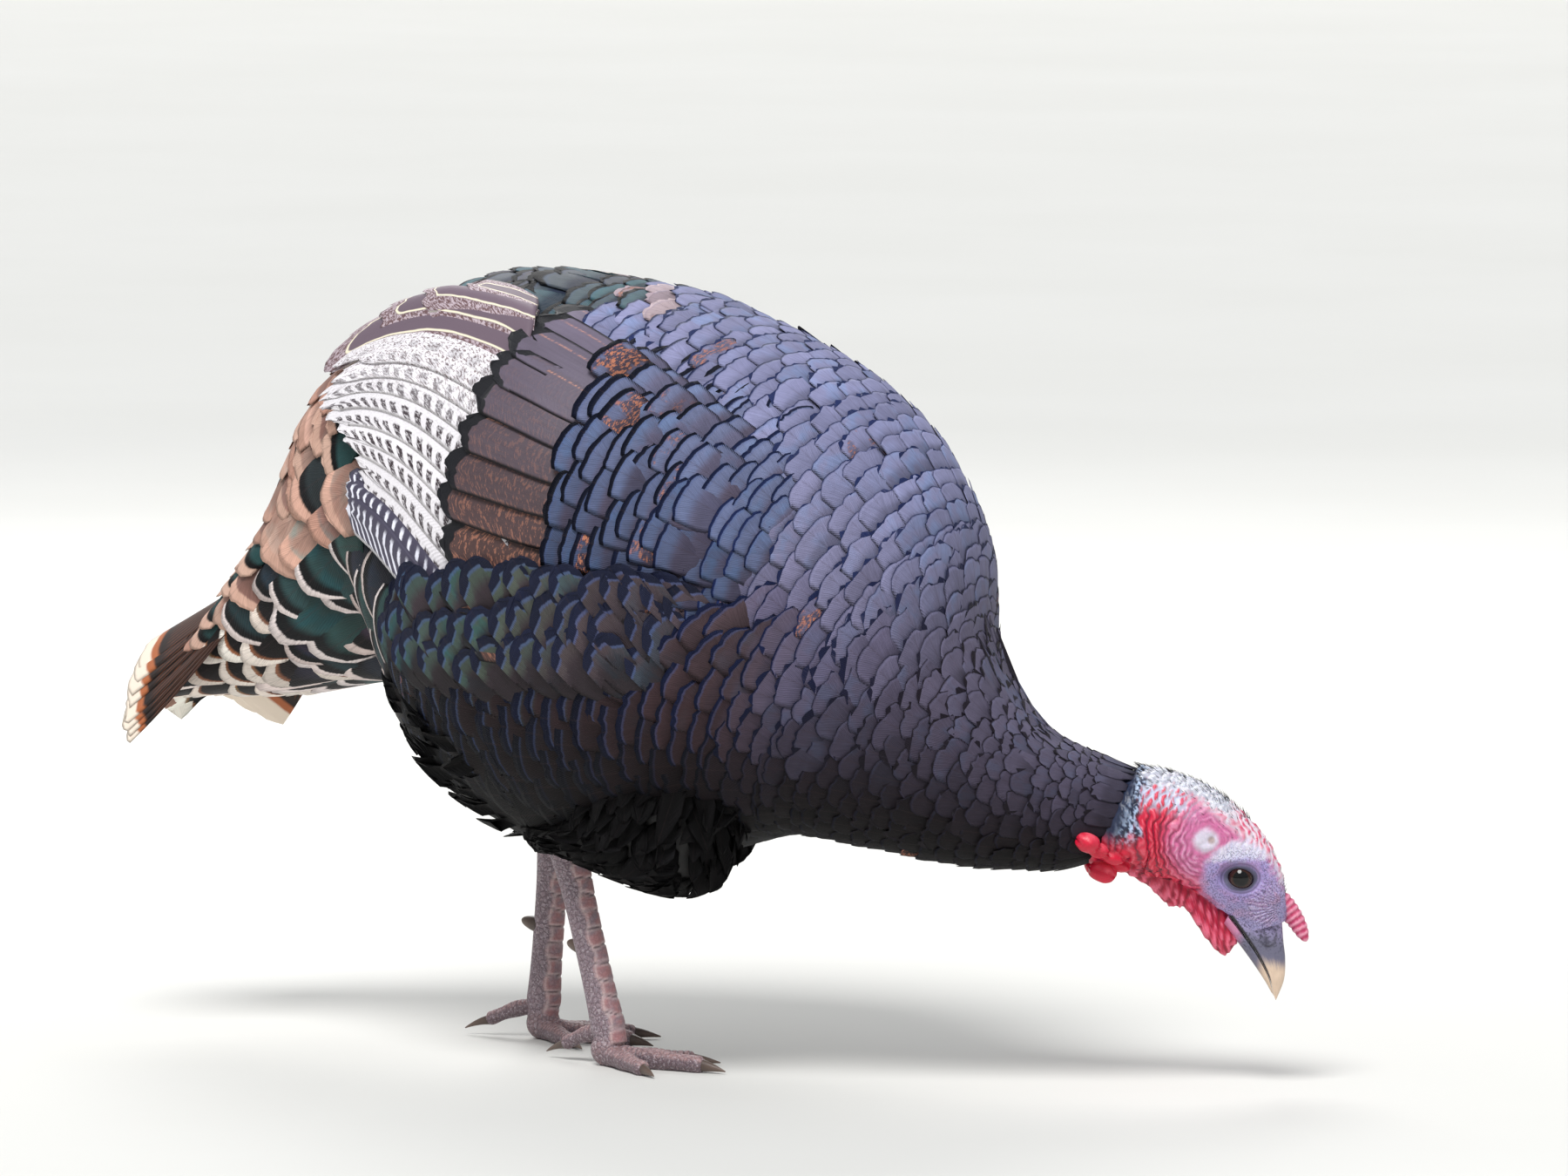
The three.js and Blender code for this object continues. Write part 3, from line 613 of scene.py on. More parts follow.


# The feathers of a stretch of the body, row by row, with their colours: a base that darkens down the
# side, partly the bird's own black underside and partly painted shade, and pales over the back to a
# painted lavender sky sheen, a near band and a tip. Later picks give the back, the rump and the tail's
# surroundings their own.
def bodyRoots(seed, sFrom, sTo, keep, larger=1.0):
    exposure = lambda s: fromPairs(coat["exposure"], s) * larger
    pitch = lambda s: fromPairs(coat["pitch"], s) * larger
    inside = lambda s, turn: keep(s, turn) & (s < bareFrom(turn)) & ~underWing(s, turn)
    s, turn = layRows(sFrom, sTo, exposure, pitch, inside, seed)
    rng = np.random.default_rng(seed + 100)
    a = above(turn)
    n = len(s)
    chance, hue, spare = rng.uniform(0, 1, (3, n))
    length = exposure(s) * 2.9 / larger**0.5 + 4
    width = pitch(s) * 1.4 * rng.uniform(0.92, 1.08, n)
    line = flankLine(s)
    # along the wing's lower edge the flank feathers sweep up and lie over it
    alongWing = soft(s, 4.4, 5.1) * soft(s, 8.4, 7.4)
    raised = hill(a - line, -6, 9) * alongWing
    flow = 34 * hill(a - line, -3, 17) * alongWing
    flow = flow - 16 * soft(-a, 5, 48) * soft(s, 8.2, 7.0) * soft(s, 3.6, 4.6)
    flow = flow + 10 * soft(s, 2.9, 2.0) * soft(-a, 0, 30)
    high = -1.0 + 3.0 * raised
    low = -1.6 - length * 0.09 + 1.5 * raised
    neckward = soft(s, 8.0, 9.6)[:, None]
    flank = (soft(s, 8.5, 7.7) * soft(a - line, 6, -3))[:, None]
    # painted light and shade: these colours pale upwards to lavender and blue, a painted sheen of the sky on
    # the glossy back, and darken downwards, partly the bird's own black underside and partly painted shade
    body = shade(a + rng.normal(0, 4, n), (-60, (8, 6, 7)), (-40, (25, 18, 22)), (-22, (52, 43, 54)),
                 (-4, (92, 86, 108)), (14, (114, 108, 138)), (40, (134, 132, 164)), (60, (144, 145, 182)))
    neck = shade(a, (-50, (12, 8, 10)), (-25, (30, 23, 28)), (10, (74, 67, 84)), (60, (102, 96, 118)))
    side = shade(a, (-66, (3, 2, 3)), (-48, (8, 6, 8)), (-30, (31, 22, 25)), (-10, (66, 48, 52)),
                 (10, (84, 68, 74)), (35, (90, 74, 84)))
    base = (body * (1 - neckward) + neck * neckward) * (1 - flank) + side * flank
    olive = shade(a - line, (-60, (5, 4, 6)), (-44, (12, 10, 15)), (-26, (40, 40, 45)), (-12, (78, 84, 78)),
                  (-2, (108, 120, 106)))
    olive = lerp(olive, side * 1.1, soft(s, 6.0, 7.6)[:, None])
    near = base * 1.06 * (1 - flank) + olive * flank
    dark = shade(a, (-50, (3, 3, 6)), (-30, (8, 11, 24)), (-12, (12, 20, 50)), (10, (16, 26, 62)),
                 (50, (34, 46, 92)))
    soften = lerp(0.02, 0.012, flank[:, 0])
    tipColour = dark * (1 - neckward) + shade(a, (0, (26, 20, 28)), (1, (30, 24, 34))) * neckward
    lined = soft(s, 7.6, 6.4)
    nearFrom = lerp(0.66, 0.8, flank[:, 0])
    tipFrom = lerp(lerp(0.98, 0.955, lined), 0.845 + 0.08 * soft(s, 6.0, 8.2), flank[:, 0])
    tipFrom = tipFrom + 0.012 * (chance - 0.5)
    # how strong the painted blue sheen highlight before each tip is
    sheenLineShare = lerp(0.05 + 0.1 * lined, 0.36 * soft(a - line, -50, -15), flank[:, 0])
    rust = np.where(chance < 0.045 * (1 - neckward[:, 0]) * (1 - flank[:, 0]) + 0.01, 0.4 + 0.5 * hue, 0.0)
    band = np.full(n, 0.07)
    # the middle of the lower back, between the wings: teal and bronze with black tips
    pick = spare < soft(s, 5.7, 5.2) * soft(s, 2.6, 3.0) * soft(a, 55, 66)
    base = chosen(pick, shade(hue, (0, (38, 66, 80)), (1, (66, 62, 84))), base)
    near = chosen(pick, shade(hue, (0, (74, 110, 118)), (1, (104, 96, 104))), near)
    tipColour = chosen(pick, shade(hue, (0, (8, 8, 12)), (1, (10, 10, 16))), tipColour)
    tipFrom = np.where(pick, 0.9, tipFrom)
    # behind the wing: green-black feathers with thin pale edges
    pick = spare < soft(s, 4.75, 4.5) * soft(a, 14, 2)
    new = shade(hue, (0, (58, 92, 88)), (0.5, (36, 60, 66)), (0.75, (48, 42, 60)), (1, (66, 52, 70)))
    base = chosen(pick, new, base)
    width, flow = np.where(pick, width * 0.86, width), np.where(pick, -4.0, flow)
    near = chosen(pick, shade(hue, (0, (5, 6, 10)), (1, (9, 7, 11))), near)
    tipColour = chosen(pick, shade(hue, (0, (240, 228, 226)), (1, (224, 204, 198))), tipColour)
    nearFrom = np.where(pick, 0.76, nearFrom)
    tipFrom = np.where(pick, 0.915 - 0.04 * soft(s, 2.6, 0.6), tipFrom)
    sheenLineShare = np.where(pick, 0.0, sheenLineShare)
    rust = np.where(pick, 0.0, rust)
    # over the tail: buff feathers, some with black crescents and teal patches
    pick = spare < soft(s, 4.0, 3.8) * soft(a, -10, 10)
    buff = shade(rng.uniform(0, 1, n), (0, (222, 178, 160)), (0.5, (196, 150, 134)), (1, (158, 116, 106)))
    crescent = pick & (hue < 0.42)
    base = chosen(crescent, shade(chance, (0, (52, 92, 92)), (1, (58, 46, 52))), chosen(pick, buff, base))
    near = chosen(crescent, shade(hue, (0, (12, 10, 14)), (1, (20, 14, 16))), chosen(pick, buff * 1.05, near))
    tipColour = chosen(pick, shade(chance, (0, (232, 192, 172)), (1, (196, 148, 130))), tipColour)
    nearFrom, tipFrom = np.where(pick, 0.6, nearFrom), np.where(pick, 0.76, tipFrom)
    sheenLineShare = np.where(pick, 0.0, sheenLineShare)
    soften, rust = np.where(pick, 0.03, soften), np.where(pick, 0.0, rust)
    # beside and under the tail: black feathers with broad pale tips, rusty within
    pick = spare < soft(s, 2.5, 1.9) * soft(a, 4, -14)
    base = chosen(pick, shade(hue, (0, (18, 12, 14)), (1, (30, 22, 24))), base)
    near = chosen(pick, shade(hue, (0, (168, 104, 66)), (1, (136, 92, 72))), near)
    tipColour = chosen(pick, shade(hue, (0, (252, 242, 232)), (1, (238, 222, 210))), tipColour)
    nearFrom, tipFrom = np.where(pick, 0.77, nearFrom), np.where(pick, 0.82, tipFrom)
    sheenLineShare = np.where(pick, 0.0, sheenLineShare)
    band = np.where(pick, 0.03, band)
    # a patch of pale down where the wings meet the back
    pick = chance < 0.8 * hill(s, 5.7, 0.35) * hill(a, 86, 7) * (np.cos(turn) < 0)
    base = chosen(pick, shade(hue, (0, (206, 184, 190)), (1, (170, 150, 160))), base)
    near, tipColour = chosen(pick, base, near), chosen(pick, base * 1.1, tipColour)
    return {
        "s": s, "turn": turn, "length": length, "width": width, "flow": flow, "low": low, "high": high,
        "base": tone(n, base, 0.1, rng, sheenLineShare), "near": tone(n, near, 0.1, rng, nearFrom),
        "tip": tone(n, tipColour, 0.1, rng, tipFrom), "marks": np.stack([rust, band, soften], -1),
    }


everywhere = lambda s, turn: s > -9
behindWing = lambda s, turn: (s < 4.72) & (above(turn) < 13)  # behind the wing and beside the tail
elsewhere = lambda s, turn: ~behindWing(s, turn)
square = {"columns": 11, "tipRound": 0.13, "tipPower": 4.0, "crown": 0.026, "ragged": 0.035}
plumes("neckFeathers", bodyRoots(11, 8.6, 12.4, everywhere), square | {"tipRound": 0.2, "crown": 0.05},
       contour)
plumes("breastFeathers", bodyRoots(12, 6.0, 8.6, everywhere), square, contour)
plumes("flankFeathers", bodyRoots(13, 2.6, 6.0, elsewhere), square | {"tipRound": 0.17, "tipPower": 3.0},
       contour)
plumes("lateralFeathers", bodyRoots(15, 0.0, 4.8, behindWing, 1.4),
       square | {"tipRound": 0.36, "tipPower": 2.3, "crown": 0.07, "rootWide": 0.7, "ragged": 0.01,
                 "wander": 2.0}, glossy)
plumes("rumpFeathers", bodyRoots(14, 0.0, 2.6, elsewhere), {"tipRound": 0.3, "crown": 0.08, "columns": 11},
       contour)


swept = {"row": 14, "length": 44, "width": 26, "flow": 42}  # the flank's upper feathers, lying over the wing
tufts = {"count": 90, "length": (30, 48), "width": (8, 13)}  # loose black feathers behind the thighs


# Three rows under the wing's lower edge, their tips turned up and lifted clear of the wing's face.
def sweptRoots(seed):
    rng = np.random.default_rng(seed)
    row, at = np.meshgrid(np.arange(3), np.linspace(4.75, 7.35, swept["row"]), indexing="ij")
    s = (at + 0.1 * row + rng.uniform(-0.03, 0.03, at.shape)).ravel()
    a = flankLine(s) - 4.5 - 7.5 * (2 - row).ravel() + rng.uniform(-1, 1, len(s))
    s, a, level = np.tile(s, 2), np.tile(a, 2), np.tile(row.ravel(), 2)
    side = np.repeat([-1, 1], len(s) // 2)
    n = len(s)
    over = wingLift(s - 0.48, a + 11)  # the tips clear the wing's outer face
    # darker lower down the side, partly the feathers' own colour and partly painted shade
    base = shade(a, (-34, (42, 34, 40)), (-10, (68, 56, 63)), (10, (80, 68, 75)))
    sheen = shade(s, (4.8, (58, 78, 76)), (6.0, (78, 88, 78)), (6.8, (78, 66, 70)), (7.6, (78, 66, 74)))
    front = soft(s, 6.8, 7.5)
    return {
        "s": s, "turn": turnOf(side, a), "length": swept["length"] * rng.uniform(0.88, 1.1, n),
        "width": swept["width"] * rng.uniform(0.9, 1.1, n),
        "flow": swept["flow"] + rng.normal(0, 3, n) - 8 * front,
        "low": -3.0 + 2.6 * level * (1 - front) - 3.5 * front, "high": over + 1.6 + 0.7 * level - 1.4 * front,
        "base": tone(n, base, 0.1, rng, 0.5), "near": tone(n, sheen, 0.1, rng, 0.7),
        "tip": tone(n, paint(13, 20, 48), 0.15, rng, 0.885), "marks": np.tile([[0.0, 0.09, 0.012]], (n, 1)),
    }


def tuftRoots(seed):  # strewn at random over a patch of the lower belly
    rng = np.random.default_rng(seed)
    n = tufts["count"]
    s, a = rng.uniform(4.2, 5.6, n), rng.uniform(-74, -36, n)
    return {
        "s": s, "turn": turnOf(np.where(rng.uniform(0, 1, n) < 0.5, -1, 1), a),
        "length": rng.uniform(*tufts["length"], n),
        "width": rng.uniform(*tufts["width"], n), "flow": rng.normal(-14, 16, n), "low": np.full(n, -5.0),
        "high": rng.uniform(-1, 4.5, n), "base": tone(n, paint(7, 6, 8), 0.2, rng, 0.0),
        "near": tone(n, paint(7, 6, 8), 0.2, rng, 0.7), "tip": tone(n, paint(4, 4, 6), 0.2, rng, 0.9),
        "marks": np.tile([[0.0, 0.1, 0.02]], (n, 1)),
    }


plumes("bellyTufts", tuftRoots(17),
       {"tipRound": 0.5, "tipPower": 1.5, "ragged": 0.06, "wander": 8, "loose": 1.5}, contour)


wing = {
    "clear": 2.4,  # mm between the body's feathers and the wing
    "rowStep": 8.4,
    "rowPitch": 27.0,
    "secondaries": 10,
    "primaries": 3,
}
sides = {"right": -1, "left": 1}


def toothEdge(a):  # the rear edge of the greater coverts
    return np.interp(a, [-14, 3, 22, 45, 66], [5.6, 5.0, 4.82, 4.78, 4.9])


def rowEdge(a):  # the rear edge of the rows of smaller coverts
    return np.interp(a, [-14, -2, 27, 48, 66], [6.25, 5.99, 5.57, 5.47, 5.35])


def wingLift(s, a):  # the outer face of the coverts: domed from edge to edge, sinking into the coat in front
    rear, front = coverEdge(a), 7.75 - 0.0003 * (a - 25) ** 2
    k = np.clip((s - rear) / (front - rear), 0, 1)
    low, high = -13 + 17 * k, 68 - 16 * k
    j = np.clip((a - low) / (high - low), 0, 1)
    dome = 9 * np.sin(math.pi * j) * np.cos(1.4 * k)
    plain = lerp(4.9, -0.8, soft(k, 0.35, 0.95)) * soft(j, 1.0, 0.8)
    return plain + dome * (1 - soft(k, 0.6, 1.0)) - 1.5 * soft(j, 0.8, 1)


# A tract of flight feathers as a surface: k from its rear edge to where it goes under the coverts,
# j from its lower edge to its upper one, negative on the right side so that faces point out.
def tractSurface(side, rear, low, high, thick):
    def surface(k, j, lift=0.0):  # a point of the tract, raised by lift mm
        k, j, lift = np.broadcast_arrays(k, j, lift)
        j = j * side
        a = low(k) + (high(k) - low(k)) * j
        s = rear(a) + (coverEdge(a) - 0.02 - rear(a)) * k
        return bodyPoint(s, turnOf(side, a), wing["clear"] + thick(k, j) + lift)
    return surface


def tractSpots(side, rear, low, high, k, j):  # a tract's places in the bake map
    a = lerp(low(k), high(k), j)
    return unwrapOf(lerp(rear(a), coverEdge(a), k), turnOf(side, a))


def domed(j):  # 0 at both edges, 1 in the middle
    return np.sin(math.pi * np.clip(j, 0, 1))


# The wing's small feathers, in rows along the edge of the greater coverts up to the shoulder, dark
# below, partly painted shade, and blue-grey above, a painted sheen of the sky on the glossy feathers.
def coverRoots(side, seed):
    rng = np.random.default_rng(seed)
    found = []
    row, across = 0.58, 0
    while row < 2.6:  # rows lie along the edge of the coverts, from the rear to the shoulder
        a = np.arange(-14, 68, 1.0)
        s = row + rowEdge(a)
        along, around = stretch(s, turnOf(side, a))
        arc = np.concatenate([[0], np.cumsum((around[1:] + around[:-1]) / 2 * math.radians(1.0))])
        pitch = wing["rowPitch"] * (1 - 0.16 * row)
        at = np.arange(pitch * (0.5 + 0.5 * across) * 0.7, arc[-1], pitch) + rng.uniform(-2, 2, 1)
        at = at + rng.uniform(-0.12, 0.12, len(at)) * pitch
        degrees = np.interp(at, arc, a)
        found.append(np.stack([row + rowEdge(degrees) + rng.uniform(-0.015, 0.015, len(at)), degrees], -1))
        row += wing["rowStep"] / along.mean()
        across = 1 - across
    s, a = np.concatenate(found).T
    front = 7.75 - 0.0003 * (a - 25) ** 2
    keep = (s < front) & (a > flankLine(s - 0.5) - 5 + 9 * soft(s, 5.9, 6.5))
    s, a = s[keep], a[keep]
    n = len(s)
    length = lerp(36, 28, soft(s, 5.5, 7.3)) * rng.uniform(0.94, 1.06, n)
    outer = wingLift(s - 0.3, a)
    # painted light and shade: paler and bluer higher up the wing, darker lower down
    base = shade(a, (-12, (40, 36, 48)), (8, (62, 60, 82)), (26, (96, 94, 122)), (60, (134, 132, 164)))
    base = lay(base, 0.45 * rng.uniform(0, 1, n), paint(110, 90, 104))
    near = shade(a, (-12, (42, 50, 66)), (8, (62, 74, 102)), (26, (96, 106, 140)), (60, (136, 142, 178)))
    rust = np.where(rng.uniform(0, 1, n) < 0.08, rng.uniform(0.5, 0.9, n), 0.0)
    return {
        "s": s, "turn": turnOf(side, a), "length": length,
        "width": wing["rowPitch"] * rng.uniform(1.1, 1.3, n) * (1 - 0.1 * (s - 5.5)),
        "flow": lerp(-7, 6, soft(a, -5, 60)), "low": outer - 5.0, "high": outer,
        "base": tone(n, base, 0.09, rng, 0.3), "near": tone(n, near, 0.09, rng, 0.66),
        "tip": tone(n, shade(s, (6.8, (8, 14, 36)), (7.7, (26, 40, 86))), 0.2, rng,
                    0.9 + 0.055 * soft(s, 6.4, 7.8) + rng.uniform(-0.015, 0.015, n)),
        "marks": np.stack([rust, np.full(n, 0.1), np.full(n, 0.012)], -1),
    }


# One row of long coverts over the roots of the flight feathers, their tips on a stepped edge.
def greaterRoots(side, seed):
    rng = np.random.default_rng(seed)
    a = np.linspace(-4, 64, 12)
    n = len(a)
    reach = 96.0
    tip = toothEdge(a) + rng.uniform(-0.03, 0.03, n)
    along, _ = stretch(tip + 0.7, turnOf(side, a))
    s = tip + reach / along
    # brown low down and greyer higher up, where the lavender-grey is a painted sky sheen
    base = shade(a, (-12, (74, 48, 42)), (4, (84, 58, 52)), (24, (82, 68, 74)), (44, (104, 94, 112)),
                 (64, (120, 110, 134)))
    speckle = np.interp(a, [-12, 4, 22, 45], [1.0, 0.8, 0.25, 0.0])
    return {
        "s": s, "turn": turnOf(side, a), "length": np.full(n, reach), "width": np.full(n, 27.0),
        "flow": lerp(-9, 7, soft(a, -10, 60)), "low": wingLift(s, a) - 8.0,
        "high": wingLift(tip + 0.1, a) - 1.0 - 2.6 * soft(a, 50, 62),
        "base": tone(n, base, 0.05, rng), "near": tone(n, base * 0.95, 0.05, rng, 0.7),
        "tip": tone(n, paint(8, 8, 16), 0.1, rng, 0.915),
        "marks": np.stack([speckle, np.full(n, 0.1), np.full(n, 0.008)], -1),
    }


def greaterFinish():  # grey-brown webs, barred and flecked with rust lower down, with black ends
    look = Finish("greaterCoverts", Roughness=0.5, Specular_IOR_Level=0.4)
    across, along, shift = look.vane()
    speckle, _, _ = look.three("marks")
    off = look.fromShaft(across)
    grain = look.grain(along, 70.0, across, 7.0, shift)
    long = look.grain(along, 3.0, across, 12.0, shift, 0.6)
    waver = look.swayed(along, grain, 0.03)
    end = look.ramp(look.plus(waver, look.times(look.minus(0.6, across), 0.09)), 0.9, 0.91)
    fleck = look.times(look.ramp(look.plus(grain, look.times(long, 0.25)), 0.64, 0.74), speckle)
    streak = look.times(look.within(look.swayed(across, grain, 0.06), 0.2, 0.235, 0.02), 0.55)
    colour = look.blend(look.times(long, 0.45), look.read("base", 0), paint(40, 30, 36))
    colour = look.blend(look.times(fleck, 0.7), colour, paint(200, 134, 106))
    colour = look.blend(look.times(streak, look.ramp(grain, 0.4, 0.55)), colour, paint(214, 150, 122))
    colour = look.blend(look.ramp(off, 0.86, 0.99), colour, paint(16, 12, 18))
    look.colour(look.blend(end, colour, look.read("tip", 0)))
    look.bump(look.plus(grain, long), 0.35, 0.0006)
    return look.material


# Long feathers of a tract side by side, from under the coverts to the wing's rear.
def flightRoots(tract, side, spots):
    rng = np.random.default_rng(tract["seed"])
    count, colour = tract["count"], tract["colour"]
    j = (np.arange(count) + 0.5) / count
    lift = tract["stack"] * (j - 0.5) * count  # each lies a little over the next
    k = np.full(count, tract["from"])
    low, high = tract["lifts"]
    return {
        "s": k, "turn": j * side, "length": tract["length"](count), "width": np.full(count, tract["width"]),
        "flow": np.zeros(count), "low": low + lift, "high": high + lift,
        "base": tone(count, colour, 0.04, rng), "near": tone(count, colour, 0.04, rng, 0.7),
        "tip": tone(count, colour, 0.04, rng, 0.96), "marks": np.tile(np.array([tract["marks"]]), (count, 1)),
        "spot": spots(k, j),
    }


def secondaryFinish():  # white, with rows of dark speckled squares that line up from feather to feather
    look = Finish("whiteSecondaries", Roughness=0.6, Specular_IOR_Level=0.3)
    across, along, _ = look.split(look.map("Vane"))
    luckA, _, size = look.three("luck")
    dirt, _, _ = look.three("marks")
    shift = look.times(luckA, 40.0)
    grain = look.grain(along, 90.0, across, 14.0, shift)
    edge = look.grain(along, 30.0, across, 6.0, shift, 0.5, 2.0)
    edge = look.times(look.minus(edge, 0.5), 0.16)
    mmAlong = look.times(along, look.times(size, 30.0))
    slanted = look.minus(look.times(mmAlong, 1 / 10.4), look.times(across, 2.2))
    step = look.maths("FRACT", look.plus(look.plus(slanted, 20.0), look.times(edge, 1.5)))
    bar = look.within(step, 0.16, 0.7, 0.05)
    row = look.within(look.plus(across, edge), 0.64, 0.93, 0.03)
    dark = look.plus(0.35, look.times(look.ramp(grain, 0.4, 0.52), 0.65))
    dark = look.times(look.times(bar, row), dark)
    smudge = look.times(look.ramp(grain, 0.5, 0.6), look.plus(0.12, look.times(dirt, 0.75)))
    colour = look.blend(smudge, look.read("base", 0), paint(112, 88, 88))
    dark = look.times(dark, look.minus(1.0, look.times(dirt, 0.6)))
    colour = look.blend(dark, colour, paint(58, 46, 52))
    look.colour(colour)
    lie = look.times(look.maths("ABSOLUTE", look.minus(across, 0.4)), 14.0)
    lie = look.minus(look.times(along, 60.0), lie)  # the barbs slant away from the shaft
    look.bump(look.plus(look.maths("SINE", look.times(lie, 6.283)), grain), 0.25, 0.0005)
    return look.material


def primaryFinish():  # slate, with slanting white bars and a white lower edge with dark ticks
    look = Finish("barredPrimaries", Roughness=0.55, Specular_IOR_Level=0.35)
    across, along, shift = look.vane()
    grain = look.grain(along, 60.0, across, 5.0, shift, 0.65)
    waver = look.times(look.minus(grain, 0.5), 0.35)
    phase = look.plus(look.times(along, 15.0), look.plus(look.times(across, 1.0), waver))
    bar = look.within(look.maths("FRACT", phase), 0.3, 0.62, 0.07)
    bar = look.times(bar, look.ramp(across, 0.12, 0.3))
    rim = look.ramp(look.plus(across, look.times(waver, 0.2)), 0.9, 0.94)
    ticks = look.within(look.maths("FRACT", look.times(phase, 2.0)), 0.3, 0.7, 0.1)
    colour = look.blend(bar, look.read("base", 0), paint(232, 232, 244))
    ticked = look.blend(look.times(ticks, 0.5), paint(236, 234, 240), paint(60, 54, 64))
    look.colour(look.blend(rim, colour, ticked))
    look.bump(grain, 0.25, 0.0005)
    return look.material


def tertialFinish():  # grey-brown fields outlined in cream, with mottled margins
    look = Finish("outlinedTertials", Roughness=0.6, Specular_IOR_Level=0.3)
    across, along, shift = look.vane()
    off = look.fromShaft(across)
    grain = look.grain(along, 60.0, across, 20.0, shift)
    slow = look.grain(along, 6.0, across, 2.0, shift, 0.5, 2.0)
    rim = look.minus(1.0, look.times(look.minus(1.0, along), 4.2))
    rim = look.add("ShaderNodeMath", {0: off, 1: rim, 2: 0.3}, operation="SMOOTH_MAX")
    rim = look.swayed(rim, slow, 0.16)
    line = look.within(rim, 0.42, 0.48, 0.02)
    margin = look.ramp(rim, 0.48, 0.51)
    mottle = look.blend(look.ramp(grain, 0.42, 0.56), paint(190, 174, 182), paint(108, 82, 84))
    colour = look.blend(margin, look.read("base", 0), mottle)
    colour = look.blend(line, colour, paint(240, 230, 204))
    colour = look.blend(look.ramp(off, 0.93, 0.97), colour, paint(230, 222, 214))
    look.colour(colour)
    look.bump(grain, 0.2, 0.0005)
    return look.material


# The flight feathers' tracts, each with its rear edge (a station read at the height a), its lower and
# upper edges (heights read at k), its thickness in mm and its look.
tracts = {
    "secondaries": {
        "rear": lambda a: 2.88 + 0.0003 * (a - 30) ** 2, "low": lambda k: lerp(12.5, -5.5, k),
        "high": lambda k: lerp(50, 44, k), "thick": lambda k, j: 3 + 3 * domed(j) + 3 * k,
        "count": wing["secondaries"], "from": 1.12, "width": 34, "lifts": (-5.0, 0.0),
        "length": lambda n: (150 + 36 * domed(np.linspace(0.1, 0.9, n))
                             - 50 * soft(np.linspace(0, 1, n), 0.64, 1.0)),
        "colour": paint(238, 234, 238), "marks": (0.1, 0.1, 0.01), "seed": 51, "stack": 0.35,
        "shape": {"columns": 11, "tipRound": 0.12, "tipPower": 2.0, "wander": 0.6, "loose": 0.1},
        "roll": 0.02, "look": secondaryFinish,
    },
    "tertials": {
        "rear": lambda a: 3.1 + 0.02 * (a - 50), "low": lambda k: lerp(51.5, 45.5, k),
        "high": lambda k: lerp(69, 66, k),
        "thick": lambda k, j: (3 + 3 * domed(j) + 3 * k) * soft(j, 1.1, 0.5) - 3.4 * soft(j, 0.55, 1.0),
        "count": 4, "from": 1.15, "width": 60, "lifts": (-3.0, 1.0),
        "length": lambda n: np.array([134.0, 108.0, 78.0, 48.0]),
        "colour": paint(110, 94, 106), "marks": (0.0, 0.1, 0.01), "seed": 61, "stack": 0.8,
        "shape": {"columns": 15, "tipRound": 0.18, "tipPower": 2.0, "crown": 0.06, "wander": 1.5,
                  "loose": 0.2},
        "roll": 0.0, "look": tertialFinish,
    },
    "primaries": {
        "rear": lambda a: np.full(np.shape(a), 2.95), "low": lambda k: lerp(4, -11, k),
        "high": lambda k: lerp(14, -3, k), "thick": lambda k, j: 1.5 + 2.0 * domed(j),
        "count": wing["primaries"], "from": 0.92, "width": 24, "lifts": (-0.5, 1.5),
        "length": lambda n: np.full(n, 152),
        "colour": paint(70, 66, 84), "marks": (0.0, 0.1, 0.01), "seed": 71, "stack": -0.9,
        "shape": {"columns": 9, "tipRound": 0.1, "tipPower": 1.6, "wander": 0.5, "loose": 0.1,
                  "rootWide": 0.9},
        "roll": 0.02, "look": primaryFinish,
    },
}
tractLooks = {name: tract["look"]() for name, tract in tracts.items()}
greaterLook = greaterFinish()


def makeWing(label, side):  # the small coverts, the greater ones, then the tracts they cover
    plumes(f"{label}WingCoverts", coverRoots(side, 21 + side),
           {"columns": 11, "tipRound": 0.1, "tipPower": 4.0, "crown": 0.03, "roll": 0.025, "wander": 2.5,
            "mirror": -side, "ragged": 0.015},
           contour, stands=(f"wing_{label}_coverts",), seed=31 + side)
    plumes(f"{label}GreaterCoverts", greaterRoots(side, 41 + side),
           {"columns": 13, "rows": 18, "tipRound": 0.14, "tipPower": 2.0, "crown": 0.03, "roll": 0.05 * -side,
            "wander": 1.2, "loose": 0.2, "patch": 0.03, "mirror": -side, "rootWide": 0.8},
           greaterLook, seed=43 + side)
    for name, tract in tracts.items():
        edges = side, tract["rear"], tract["low"], tract["high"]
        roots = flightRoots(tract, side, lambda k, j: tractSpots(*edges, k, j))
        if name == "secondaries":  # the upper ones are soiled
            roots["marks"][:, 0] = soft(np.linspace(0, 1, tract["count"]), 0.5, 0.95)
        shape = {"rows": 24, "roll": tract["roll"] * -side, "patch": 0.05, "side": side, "mirror": -side,
                 "crown": 0.03, "rootWide": 0.8} | tract["shape"]
        surface = tractSurface(*edges, tract["thick"])
        plumes(f"{label}{name.capitalize()}", roots, shape, tractLooks[name], surface,
               (f"wing_{label}_{name}",), tract["seed"] + 2)


for label, side in sides.items():
    makeWing(label, side)
plumes("sweptFeathers", sweptRoots(16), square | {"tipRound": 0.2, "tipPower": 2.6, "rows": 14, "wander": 2.5,
       "ragged": 0.012}, glossy)


tail = {
    "rows": [(-196, 290, 38, 18), (-248, 256, 54, 42), (-302, 226, 65, 60)],  # x, z, half width and fall
    "feathers": 18,
}


